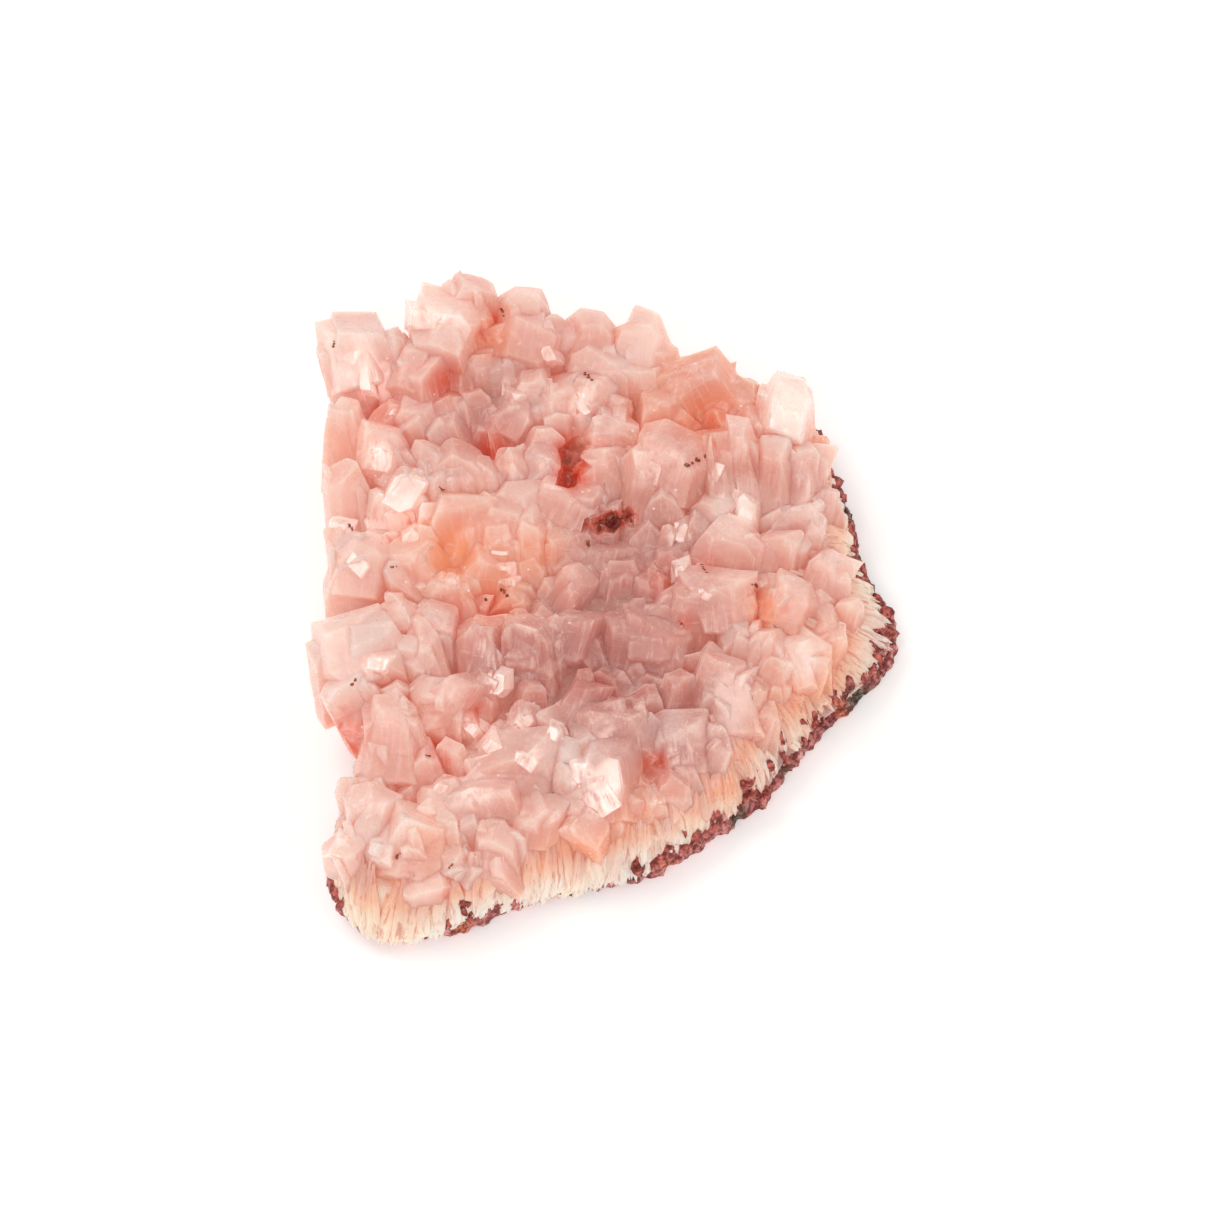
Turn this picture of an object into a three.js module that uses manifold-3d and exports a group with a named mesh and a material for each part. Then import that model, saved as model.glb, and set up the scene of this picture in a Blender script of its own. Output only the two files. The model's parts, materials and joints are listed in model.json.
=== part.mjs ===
// A cluster of heulandite: a plate of blocky, coffin-shaped pink zeolite crystals that grew side by side on a
// thin rind of red-brown rock. Two solids: the rind, and the crystals with the columns that they grow from.
// Millimetres, +Z up. The rind's foot pads rest on z = 0, and the origin is under the middle of the cluster.
import * as THREE from "three";
import { ConvexGeometry } from "three/addons/geometries/ConvexGeometry.js";
import { mergeVertices } from "three/addons/utils/BufferGeometryUtils.js";
import Module from "manifold-3d";

const wasm = await Module();
wasm.setup();

// ---- Driving dimensions ----
const RIND_THICKNESS = 2.4; // rock under the crystals, on average
const RIND_LEDGE = 0.9; // how far the rind sticks out past the columns that root on it
const RIND_UNDERCUT = 1.6; // how far the rind's lower edge stands in from its rim
const RIND_OVERHANG = 0.2; // how far its widest line stands out from the rim
const RIND_EDGE_HEIGHT = 0.7; // height of that lower edge
const RIND_WIDEST_HEIGHT = 1.5; // and of that widest line
const KNOB_IN = -0.3; // the least that a knob of the rock stands out
const KNOB_OUT = 0.5; // and the most
const PARTING = 0.3; // clear gap between the rock and the crystals
const TOOTHED_FROM = 0.86; // share of the way out where the toothed edge of the parting begins
const CRUST_HEIGHT = 8.4; // top of the mass that the crystals stand in
const CRUST_LEAST = 1.2; // what is left of that mass, over the rock, at the bottom of a hollow
const WALL_HEIGHT = 7.6; // top of the broken side wall of columns
const COLUMN_SHORT = -0.6; // the shortest column's top, against the wall's
const COLUMN_TALL = 1.2; // and the tallest's
const COLUMN_RELIEF = 0.6; // how far the columns of the side wall stand out or in
const RIM_STEPS = 88; // points round the rim
const FACE_LEAN = THREE.MathUtils.degToRad(60); // elevation that the crystals' places are laid out from
const MIDDLE = new THREE.Vector2(-1.5, -3.5); // what the rings close round

// Waves over the plate: their height, and their radians per millimetre and starts along X and Y.
const QUARTER = Math.PI / 2;
const FOOT_WAVE = { height: 1.5, alongX: 0.36, startX: 0.5, alongY: 0.31, startY: -0.8 };
const PARTING_WAVE = { height: 0.3, alongX: 0.55, startX: 1.0, alongY: 0.5, startY: QUARTER };
const CRUST_WAVE = { height: 0.5, alongX: 0.8, startX: 0.0, alongY: 0.7, startY: 0.6 + QUARTER };
const RIPPLE = { height: 0.2, alongX: 0.9, alongY: 0.7 };
const FOOT_RAISED = 0.1; // how far the underside's wave is raised, so that only its low parts rest

// The parting where rock meets crystal is toothed at the rim, where the columns root in the rock.
const PARTING_RIM = 0.5; // how much higher it lies there
const TOOTH_UP = 0.45;
const TOOTH_DOWN = -0.35;
const TOOTH_VARIES = 0.25;
const TOOTH_TURN = 2.3; // radians from one tooth's variation to the next

// Rings, as shares of the way from the middle to the rim.
const FOOT_RINGS = [0.3, 0.6];
const FOOT_EDGE = { share: 0.84, raised: 0.15 };
const CRUST_RINGS = [0.7, 0.36];
const WALL_BEND = { height: 0.55, lean: 0.4 }; // where the side wall bends, as shares of its height and lean

// The rim of the plate: x, y and how far the side wall leans in from the rim to its top. Anticlockwise.
const RIM = [
  [-22.2, -39.2, 2.4], [-14.4, -38.0, 2.8], [-6.6, -34.8, 3.0], [-1.4, -33.5, 3.2], [4.6, -32.2, 3.4],
  [9.4, -29.0, 4.4], [13.0, -26.4, 4.8], [16.0, -24.0, 5.2], [18.2, -20.6, 5.2], [20.4, -18.0, 5.0],
  [22.6, -15.2, 5.0], [25.9, -11.9, 5.4], [28.6, -8.4, 6.0], [29.5, -5.2, 6.4], [28.7, -1.4, 6.2],
  [26.8, 1.6, 4.6], [25.9, 5.2, 3.8], [25.2, 9.2, 3.2], [23.7, 13.4, 2.6], [22.8, 16.8, 2.2],
  [20.6, 20.8, 1.6], [15.4, 23.0, 0.8], [8.0, 24.8, 0.6], [0.4, 25.6, 0.4], [-8.0, 26.8, 0.4],
  [-15.0, 27.4, 0.2], [-20.4, 25.6, 0.2], [-24.8, 22.0, 0.0], [-26.0, 15.0, 0.0], [-25.6, 8.0, 0.2],
  [-26.0, 1.0, -0.2], [-26.2, -6.0, -0.4], [-25.2, -12.0, 0.2], [-24.2, -17.0, 0.4], [-25.2, -23.0, 0.6],
  [-27.0, -30.0, 1.2], [-26.8, -35.4, 2.0],
];

// Hollows in the crust: x, y, radius and depth.
const HOLLOWS = [
  [-3.6, 11.6, 3.4, 2.4], [-0.4, 5.4, 3.4, 2.8], [4.8, 1.0, 4.0, 2.0], [4.6, -13.2, 4.6, 2.4],
  [-16.0, -5.2, 2.2, 2.0], [15.6, -3.2, 2.4, 2.2], [-4.6, -13.0, 2.4, 1.6],
];

// The crystals. Each row is one, laid out on a plane that faces a viewer FACE_LEAN above the horizon: tip
// across, tip up, tip height over the ground, foot across, foot up, width, depth, tip's share of the width,
// and turn about its own axis in degrees.
const CRYSTALS = [
  // the back left corner
  [-27.6, 26.8, 14.0, -27.2, 22.6, 2.8, 4.0, 0.8, 20], [-25.4, 28.2, 16.0, -24.6, 20.6, 6.2, 6.0, 0.85, -6],
  [-22.2, 28.2, 15.0, -22.0, 20.8, 3.6, 5.0, 0.8, 28], [-26.8, 20.8, 13.0, -28.0, 13.4, 3.4, 4.0, 0.8, 8],
  [-26.6, 14.1, 13.0, -27.4, 7.4, 4.0, 4.0, 0.8, -14], [-27.3, 20.4, 11.0, -26.4, 17.8, 1.8, 2.6, 0.6, 30],
  // along the back
  [-17.4, 29.2, 17.0, -18.2, 25.2, 7.4, 6.6, 0.75, 10], [-14.1, 32.4, 17.0, -14.4, 27.4, 5.0, 4.6, 0.3, -12],
  [-14.8, 30.4, 15.5, -15.1, 25.2, 6.0, 4.0, 0.7, 0], [-8.8, 31.0, 16.5, -8.4, 27.0, 5.2, 4.6, 0.5, 8],
  [-8.2, 28.6, 15.0, -6.8, 23.2, 6.0, 5.0, 0.8, -10], [-5.4, 28.6, 14.5, -5.4, 24.2, 3.6, 4.0, 0.7, 24],
  [-2.4, 28.8, 14.5, -1.6, 24.8, 5.4, 5.6, 0.6, 6], [2.4, 29.2, 14.5, 3.4, 20.8, 5.0, 5.0, 0.55, -8],
  [-0.3, 26.0, 14.0, -0.3, 20.4, 7.0, 5.0, 0.8, 12], [4.8, 27.0, 13.5, 5.0, 21.4, 4.4, 4.0, 0.6, 18],
  [9.0, 25.2, 12.5, 8.4, 17.4, 9.0, 7.0, 0.8, -6], [13.0, 22.4, 12.0, 12.9, 17.4, 5.0, 5.0, 0.7, 14],
  [6.2, 22.0, 12.5, 6.2, 16.4, 7.0, 5.0, 0.7, -16],
  // the clear crystal at the back right, and the right side
  [17.8, 22.4, 15.0, 19.6, 15.8, 5.6, 4.4, 0.85, 10], [19.7, 16.4, 12.0, 19.4, 8.0, 4.2, 4.0, 0.6, -12],
  [21.0, 17.4, 8.5, 21.8, 10.4, 3.6, 4.0, 0.6, 16], [22.2, 12.4, 9.0, 22.2, 5.8, 4.6, 4.0, 0.6, -8],
  [20.6, 10.6, 11.0, 20.4, 4.8, 4.2, 4.0, 0.7, 22], [22.2, 5.3, 10.0, 22.6, -1.4, 4.8, 4.0, 0.6, 0],
  [18.4, 2.1, 11.0, 18.6, -4.6, 4.6, 4.0, 0.8, -18], [19.5, -2.9, 10.0, 18.8, -8.6, 2.4, 3.0, 0.8, 12],
  [22.0, -0.6, 9.0, 21.4, -6.4, 3.6, 3.6, 0.6, -20], [17.8, 7.6, 11.5, 18.0, 2.4, 4.0, 4.0, 0.7, 10],
  // the upper middle
  [12.1, 18.1, 14.0, 13.2, 7.4, 5.0, 5.0, 0.8, 6], [16.0, 16.6, 12.5, 15.8, 8.4, 4.0, 4.0, 0.7, -14],
  [12.4, 19.6, 12.2, 12.4, 15.4, 5.8, 4.0, 0.6, 20], [5.4, 16.3, 13.0, 5.8, 8.9, 7.6, 6.0, 0.9, -4],
  [-0.6, 16.1, 12.0, -0.1, 9.2, 4.8, 5.0, 0.8, 10], [0.6, 19.5, 13.0, 0.6, 15.4, 5.4, 5.0, 0.6, -8],
  [-0.8, 23.4, 14.0, -3.2, 17.6, 3.8, 4.0, 0.7, 30], [-4.8, 23.0, 13.0, -4.8, 18.0, 4.2, 5.0, 0.8, -6],
  [-19.8, 26.0, 14.5, -19.6, 20.8, 3.8, 4.0, 0.9, -8], [-13.6, 25.6, 13.0, -13.8, 20.4, 4.6, 4.0, 0.7, 18],
  [-10.4, 25.6, 12.5, -10.4, 19.8, 5.0, 4.0, 0.8, -12], [-16.6, 21.4, 12.0, -16.1, 16.4, 4.6, 4.0, 0.7, 8],
  [-11.6, 20.8, 10.5, -11.4, 16.4, 4.2, 4.0, 0.6, -20], [-7.8, 22.4, 11.5, -7.6, 17.4, 4.0, 4.0, 0.9, 5],
  [-19.8, 20.9, 13.0, -19.4, 15.4, 4.2, 4.0, 0.7, 16], [-23.0, 16.8, 14.0, -22.0, 10.4, 4.6, 4.6, 0.7, -10],
  // the teeth left of the middle
  [-14.8, 16.5, 13.5, -15.4, 5.9, 5.6, 5.0, 0.45, 4], [-17.8, 16.0, 13.0, -17.6, 6.4, 4.2, 5.0, 0.6, -16],
  [-9.4, 16.4, 12.5, -10.1, 8.9, 3.2, 4.0, 0.3, 10], [-6.5, 16.2, 12.5, -7.0, 10.4, 3.8, 4.0, 0.35, -10],
  [-0.6, 10.9, 11.6, -7.6, 9.8, 4.2, 4.2, 0.35, 0], [-9.0, 12.0, 12.0, -8.8, 7.4, 5.0, 5.0, 0.7, 14],
  [-20.7, 13.8, 14.0, -21.2, 6.4, 5.8, 3.0, 0.3, 0], [-18.3, 7.4, 13.0, -19.1, 5.0, 2.0, 2.6, 0.7, -24],
  [-14.6, 11.4, 12.5, -14.4, 1.6, 7.5, 6.0, 0.8, -6], [-10.6, 10.6, 12.0, -10.4, 1.2, 4.0, 5.0, 0.8, 0],
  [-7.9, 10.0, 11.5, -7.4, 0.9, 4.4, 5.0, 0.7, 14], [-4.1, 8.0, 10.5, -4.3, 2.9, 4.6, 5.0, 0.8, -10],
  // the left side
  [-25.6, 6.0, 14.0, -26.2, -0.8, 6.4, 6.0, 0.7, 8], [-27.0, 7.6, 12.5, -27.6, 2.4, 2.8, 4.0, 0.7, -18],
  [-20.4, 6.0, 13.0, -19.8, 0.4, 5.2, 5.0, 0.8, 12], [-16.6, 3.2, 12.0, -16.6, -0.2, 4.6, 4.0, 0.7, -6],
  [-17.3, 0.3, 12.5, -18.2, -8.6, 4.6, 5.0, 0.5, 4], [-21.1, -0.6, 12.2, -20.8, -4.6, 4.2, 4.0, 0.7, 20],
  [-26.2, -1.2, 15.0, -27.0, -10.1, 8.4, 7.0, 0.75, -5], [-27.2, -7.2, 13.0, -27.0, -14.0, 5.0, 5.0, 0.8, 12],
  [-22.4, -4.4, 13.8, -22.4, -9.1, 3.6, 4.0, 0.9, -6], [-20.1, -3.4, 13.0, -20.0, -8.8, 2.4, 3.0, 0.9, 14],
  [-26.2, -10.6, 11.0, -26.6, -14.8, 3.4, 4.0, 0.7, 30],
  [-21.5, -9.0, 14.0, -22.2, -19.1, 5.4, 5.0, 0.75, -8],
  [-17.4, -7.4, 12.5, -18.0, -14.8, 4.8, 5.0, 0.7, 10],
  // the middle
  [-12.8, -1.2, 12.0, -12.6, -9.8, 4.6, 5.0, 0.7, -4], [-7.7, -1.2, 12.0, -7.8, -8.6, 5.2, 5.0, 0.7, 12],
  [-3.8, -0.6, 10.5, -4.4, -6.4, 4.6, 4.0, 0.7, -14], [-2.4, 3.6, 10.5, -5.0, -0.8, 3.8, 4.0, 0.8, 18],
  [-10.8, 1.4, 9.6, -10.6, -1.4, 5.0, 3.0, 0.7, 0], [3.4, -1.3, 10.5, 3.4, -7.4, 7.8, 5.0, 0.85, 6],
  [1.2, 4.8, 9.0, 1.2, -0.6, 4.2, 4.0, 0.8, -16], [4.2, 3.1, 8.8, 4.4, -1.6, 3.6, 4.0, 0.8, 22],
  [4.6, 9.0, 9.2, 4.2, 4.4, 3.6, 3.6, 0.5, -8], [6.4, 6.1, 9.0, 6.2, 1.4, 3.4, 3.6, 0.7, 26],
  [8.2, 8.7, 10.4, 6.6, 5.6, 1.8, 2.2, 0.9, -12], [7.2, 4.2, 9.8, 8.6, 1.4, 1.6, 1.8, 0.9, 20],
  [12.9, 7.8, 11.5, 12.9, 1.4, 7.6, 5.0, 0.8, -6], [10.6, 2.9, 12.0, 10.2, -4.1, 7.6, 5.0, 0.85, 5],
  [11.6, -5.0, 11.5, 11.6, -13.8, 5.0, 4.0, 1.0, -4], [16.2, -2.2, 10.5, 15.8, -9.6, 4.6, 4.0, 0.7, 14],
  // the front
  [8.0, -11.1, 10.5, 7.2, -19.0, 4.8, 4.5, 0.45, 6], [5.9, -12.1, 10.0, 5.7, -16.6, 3.0, 3.5, 0.5, -22],
  [0.2, -9.6, 12.5, 0.6, -18.6, 7.6, 6.0, 0.75, 8], [-1.4, -15.1, 12.0, -1.8, -23.0, 5.4, 4.0, 0.9, -10],
  [-2.5, -6.6, 10.5, -2.3, -10.6, 2.2, 2.6, 0.8, 8], [-8.4, -13.1, 12.0, -8.2, -20.1, 9.0, 6.0, 0.9, 4],
  [-5.4, -10.6, 11.2, -5.4, -14.1, 3.2, 3.0, 0.8, -14], [-8.3, -10.2, 11.2, -8.6, -13.6, 3.0, 3.0, 0.7, 20],
  [-11.6, -6.2, 12.0, -13.4, -12.6, 4.0, 4.0, 0.8, -8], [-23.6, -17.7, 12.5, -24.6, -24.6, 4.6, 4.5, 0.7, 10],
  [-25.9, -22.6, 11.0, -27.2, -29.0, 4.0, 4.5, 0.7, -8],
  [-25.6, -17.4, 11.0, -26.8, -23.2, 2.4, 3.0, 0.7, 24],
  [-19.4, -19.5, 12.5, -20.4, -29.4, 7.0, 6.0, 0.6, -4],
  [-12.8, -17.0, 12.0, -12.0, -24.6, 7.0, 5.0, 0.8, 10],
  [-15.8, -17.2, 11.5, -15.2, -22.6, 3.0, 3.6, 0.7, -16],
  [-10.9, -21.5, 11.0, -11.4, -27.0, 3.8, 4.0, 0.6, 4],
  [-16.0, -23.8, 10.5, -15.8, -27.6, 3.2, 3.6, 0.6, 18], [-7.2, -19.4, 11.0, -6.8, -24.6, 4.8, 4.2, 0.7, -12],
  [-2.4, -20.8, 10.4, -2.6, -24.6, 5.2, 4.0, 0.8, 8], [3.0, -17.6, 10.2, 3.4, -22.6, 4.8, 3.8, 0.7, -6],
  // small ones that fill the gaps between their neighbours
  [-11.3, 28.8, 13.4, -11.2, 23.0, 4.2, 5.0, 0.8, 12],
  [-15.4, -22.6, 9.8, -15.4, -27.6, 2.6, 3.2, 0.9, 0], [-12.0, 11.8, 10.8, -12.0, 7.6, 2.2, 3.4, 0.9, 0],
  [1.9, 14.4, 9.6, 1.9, 10.0, 2.0, 5.0, 0.9, 0],
];

const FAN = 0.92; // a foot's distance from the middle, as a share, so that the crystals spread outwards
const TIP_DROP = 0.6; // from the top edge that is seen down to the middle of the tip
const RISE_PER_UP = 0.9; // how much a crystal climbs for each millimetre that it runs up the plane
const RISE_PER_ACROSS = 0.3; // and for each millimetre that it runs across it
const LOWEST_FOOT = 3.6; // heights of the lowest and the highest foot
const HIGHEST_FOOT = 5.2;

// A crystal's section, as shares of its full width and depth.
const FULLNESS = { width: 1.1, depth: 1.15 }; // allows for what the bevels take off
const FOOT_SECTION = { width: 0.78, depth: 0.8 };
const TIP_SECTION = { leastWidth: 0.2, gain: 0.65, depth: 0.6 }; // gain: per share of the tip's width
const BEVEL = 0.6; // how far down the bevels reach, as a share of the depth
const LOWEST_SHOULDER = 0.6; // the lowest that the widest section lies, as a share of the length
const SLANT_ACROSS = 0.3; // the most that a top slants to either side
const SLANT_BACK = [-0.2, 0.4]; // and from front to back
const FIRST_SEED = 10; // the first crystal's seed; each one after it has the next

// ---- Helpers ----
const wave = ({ height, alongX, startX, alongY, startY }, x, y) =>
  height * Math.sin(alongX * x + startX) * Math.sin(alongY * y + startY);

// Even random numbers between low and high, the same ones each time for the same seed.
function randomFrom(seed) {
  let state = seed * 7919 + 104729;
  const next = () => {
    state = (state * 1664525 + 1013904223) % 4294967296;
    return state / 4294967296;
  };
  next();
  return (low, high) => low + (high - low) * next();
}

// A place seen at (across, up) on the plane that faces the viewer, at this height over the ground.
const placed = (across, up, height) =>
  new THREE.Vector3(across, (up - height * Math.cos(FACE_LEAN)) / Math.sin(FACE_LEAN), height);

function solidOf(geometry) {
  const bare = geometry.clone();
  bare.deleteAttribute("normal");
  bare.deleteAttribute("uv");
  const merged = mergeVertices(bare, 1e-4);
  return new wasm.Manifold(
    new wasm.Mesh({
      numProp: 3,
      vertProperties: new Float32Array(merged.attributes.position.array),
      triVerts: new Uint32Array(merged.index.array),
    }),
  );
}

function geometryOf(solid) {
  const mesh = solid.getMesh();
  const geometry = new THREE.BufferGeometry();
  geometry.setAttribute("position", new THREE.BufferAttribute(new Float32Array(mesh.vertProperties), 3));
  geometry.setIndex(new THREE.BufferAttribute(new Uint32Array(mesh.triVerts), 1));
  return geometry;
}

// The largest connected skin alone: sealed pockets that crystals close between them are filled in.
function outerSkin(geometry) {
  const index = Array.from(geometry.index.array);
  const parent = Array.from({ length: geometry.attributes.position.count }, (_, vertex) => vertex);
  const find = (vertex) => {
    while (parent[vertex] !== vertex) {
      parent[vertex] = parent[parent[vertex]];
      vertex = parent[vertex];
    }
    return vertex;
  };
  for (let corner = 0; corner < index.length; corner += 3) {
    parent[find(index[corner + 1])] = find(index[corner]);
    parent[find(index[corner + 2])] = find(index[corner]);
  }
  const sizes = new Map();
  for (const vertex of index) {
    sizes.set(find(vertex), (sizes.get(find(vertex)) ?? 0) + 1);
  }
  const [largest] = [...sizes].reduce((most, entry) => (entry[1] > most[1] ? entry : most));
  geometry.setIndex(index.filter((vertex) => find(vertex) === largest));
  return geometry;
}

// ---- Rings round the plate ----
const rimCurve = new THREE.CatmullRomCurve3(
  RIM.map(([x, y, lean]) => new THREE.Vector3(x, y, lean)),
  true,
  "catmullrom",
  0.5,
);
const rim = rimCurve.getSpacedPoints(RIM_STEPS).slice(0, RIM_STEPS);

// A ring at a share of the way from the middle to the rim, moved outwards by grow(i) millimetres.
function ring(share, heightAt, grow = () => 0) {
  return rim.map((p, i) => {
    const out = new THREE.Vector2(p.x, p.y).sub(MIDDLE);
    const reach = out.length();
    out.setLength(reach * share + grow(i));
    const x = MIDDLE.x + out.x;
    const y = MIDDLE.y + out.y;
    return new THREE.Vector3(x, y, heightAt(x, y, i));
  });
}

// A closed skin through rings, from a point under the middle to a point over it.
function skin(lowest, rings, highest) {
  const points = [lowest, ...rings.flat(), highest];
  const n = RIM_STEPS;
  const last = points.length - 1;
  const index = [];
  for (let i = 0; i < n; i++) {
    const j = (i + 1) % n;
    index.push(0, 1 + j, 1 + i);
    for (let k = 0; k < rings.length - 1; k++) {
      const a = 1 + k * n;
      index.push(a + i, a + j, a + n + j, a + i, a + n + j, a + n + i);
    }
    const top = 1 + (rings.length - 1) * n;
    index.push(top + i, top + j, last);
  }
  const geometry = new THREE.BufferGeometry().setFromPoints(points);
  geometry.setIndex(index);
  return solidOf(geometry);
}

// The point over the middle of the plate at the height that heightAt gives there.
const overMiddle = (heightAt) => new THREE.Vector3(MIDDLE.x, MIDDLE.y, heightAt(MIDDLE.x, MIDDLE.y));

// ---- The parting ----
function uneven(x, y) {
  return wave(PARTING_WAVE, x, y) + RIPPLE.height * Math.sin(RIPPLE.alongX * x + RIPPLE.alongY * y);
}

const tooth = (i) => (i % 2 ? TOOTH_UP : TOOTH_DOWN) + TOOTH_VARIES * Math.sin(i * TOOTH_TURN);
const rockInside = (x, y) => RIND_THICKNESS + uneven(x, y);
const rockAtRim = (x, y, i) => RIND_THICKNESS + PARTING_RIM + uneven(x, y) + tooth(i);
const crystalInside = (x, y) => rockInside(x, y) + PARTING;
const crystalAtRim = (x, y, i) => rockAtRim(x, y, i) + PARTING;
const atLedge = () => -RIND_LEDGE;

// ---- The rind ----
// Its underside waves, so that it rests on the low parts: round pads at height 0.
const footHeight = (x, y) => Math.max(0, wave(FOOT_WAVE, x, y) + FOOT_RAISED);

function rindSolid() {
  const between = randomFrom(1);
  const knobs = rim.map(() => between(KNOB_IN, KNOB_OUT));
  const edgeHeight = (x, y, i) => RIND_EDGE_HEIGHT + 0.5 * knobs[i];
  const widestHeight = (x, y, i) => RIND_WIDEST_HEIGHT + 0.3 * knobs[i];
  return skin(
    overMiddle(() => 0),
    [
      ...FOOT_RINGS.map((share) => ring(share, footHeight)),
      ring(FOOT_EDGE.share, (x, y) => footHeight(x, y) + FOOT_EDGE.raised),
      ring(1, edgeHeight, (i) => -RIND_UNDERCUT + knobs[i]),
      ring(1, widestHeight, (i) => RIND_OVERHANG + knobs[i]),
      ring(1, rockAtRim, atLedge),
      ring(TOOTHED_FROM, rockInside),
    ],
    overMiddle(rockInside),
  );
}

// ---- The crust that the crystals stand in ----
function crustHeight(x, y) {
  const hollow = HOLLOWS.reduce((sum, [middleX, middleY, radius, depth]) => {
    const away = Math.hypot(x - middleX, y - middleY) / radius;
    return sum + depth * Math.exp(-(away ** 2));
  }, 0);
  return Math.max(CRUST_HEIGHT + wave(CRUST_WAVE, x, y) - hollow, RIND_THICKNESS + CRUST_LEAST);
}

function crustSolid() {
  const between = randomFrom(2);
  const ridges = rim.map(() => between(-COLUMN_RELIEF, COLUMN_RELIEF));
  const tops = rim.map(() => WALL_HEIGHT + between(COLUMN_SHORT, COLUMN_TALL));
  // the side wall at a share of its height and of its lean
  const wallHeight = (share) => (x, y, i) => THREE.MathUtils.lerp(RIND_THICKNESS, tops[i], share);
  const wallPlace = (share) => (i) => -RIND_LEDGE - share * rim[i].z + ridges[i];
  return skin(
    overMiddle(crystalInside),
    [
      ring(TOOTHED_FROM, crystalInside),
      ring(1, crystalAtRim, atLedge),
      ring(1, wallHeight(WALL_BEND.height), wallPlace(WALL_BEND.lean)),
      ring(1, wallHeight(1), wallPlace(1)),
      ...CRUST_RINGS.map((share) => ring(share, crustHeight)),
    ],
    overMiddle(crustHeight),
  );
}

// All the space under the parting, to keep the crystals' feet out of the rock.
function underPart() {
  const bottom = () => -5;
  const wellOutside = () => 14;
  return skin(
    overMiddle(bottom),
    [
      ring(1, bottom, wellOutside),
      ring(1, crystalAtRim, wellOutside),
      ring(1, crystalAtRim, atLedge),
      ring(TOOTHED_FROM, crystalInside),
    ],
    overMiddle(crystalInside),
  );
}

// ---- One crystal ----
// A coffin shape: narrower at the foot, widest past the middle, with a bevelled top that slants.
function crystalSolid(foot, tip, width, depth, tipShare, turn, between) {
  const axis = tip.clone().sub(foot);
  const length = axis.length();
  axis.normalize();
  const viewer = new THREE.Vector3(0, -Math.cos(FACE_LEAN), Math.sin(FACE_LEAN));
  const across = axis.clone().cross(viewer).normalize();
  const facing = across.clone().cross(axis).normalize();
  across.applyAxisAngle(axis, turn);
  facing.applyAxisAngle(axis, turn);
  const slantX = between(-SLANT_ACROSS, SLANT_ACROSS);
  const slantY = between(...SLANT_BACK);
  const shoulder = Math.max(LOWEST_SHOULDER, 1 - (BEVEL * depth) / length);
  const tipWidth = TIP_SECTION.leastWidth + TIP_SECTION.gain * tipShare;
  const sections = [
    [0, FOOT_SECTION.width, FOOT_SECTION.depth],
    [shoulder, 1, 1],
    [1, tipWidth, TIP_SECTION.depth],
  ];
  const points = [];
  for (const [share, wide, deep] of sections) {
    for (const [right, front] of [[1, 1], [1, -1], [-1, -1], [-1, 1]]) {
      const x = (right * wide * width) / 2;
      const y = (front * deep * depth) / 2;
      const slant = share > 0 ? slantX * x + slantY * y : 0;
      const point = foot.clone().addScaledVector(axis, length * share - slant);
      points.push(point.addScaledVector(across, x).addScaledVector(facing, y));
    }
  }
  return solidOf(new ConvexGeometry(points));
}

function crystalSolids() {
  return CRYSTALS.map(([tipX, tipUp, tipZ, footX, footUp, width, depth, tipShare, turn], number) => {
    const rise = RISE_PER_UP * (tipUp - footUp) + RISE_PER_ACROSS * Math.abs(tipX - footX);
    const footZ = THREE.MathUtils.clamp(tipZ - rise, LOWEST_FOOT, HIGHEST_FOOT);
    return crystalSolid(
      overMiddle(() => footZ).lerp(placed(footX, footUp, footZ), FAN),
      placed(tipX, tipUp - TIP_DROP, tipZ),
      width * FULLNESS.width,
      depth * FULLNESS.depth,
      tipShare,
      THREE.MathUtils.degToRad(turn),
      randomFrom(FIRST_SEED + number),
    );
  });
}

// ---- Assembly ----
const joined = crystalSolids().reduce((whole, crystal) => whole.add(crystal), crustSolid());
const crystalsSolid = joined.subtract(underPart());

function node(name, solid, colour, roughness) {
  const material = new THREE.MeshStandardMaterial({ color: colour, roughness, metalness: 0 });
  const mesh = new THREE.Mesh(outerSkin(geometryOf(solid)), material);
  mesh.name = name;
  return mesh;
}

const cluster = new THREE.Group();
cluster.add(node("rock_rind", rindSolid(), 0x8a4a45, 0.9));
cluster.add(node("heulandite_crystals", crystalsSolid, 0xe8b5a8, 0.35));

const box = new THREE.Box3().setFromObject(cluster);
for (const mesh of cluster.children) {
  mesh.position.set(-(box.min.x + box.max.x) / 2, -(box.min.y + box.max.y) / 2, -box.min.z);
}
export default cluster;
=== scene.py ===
import itertools
import json
import math
import random

import bmesh
import bpy
import numpy as np
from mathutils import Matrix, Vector, noise
from mathutils.bvhtree import BVHTree

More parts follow.
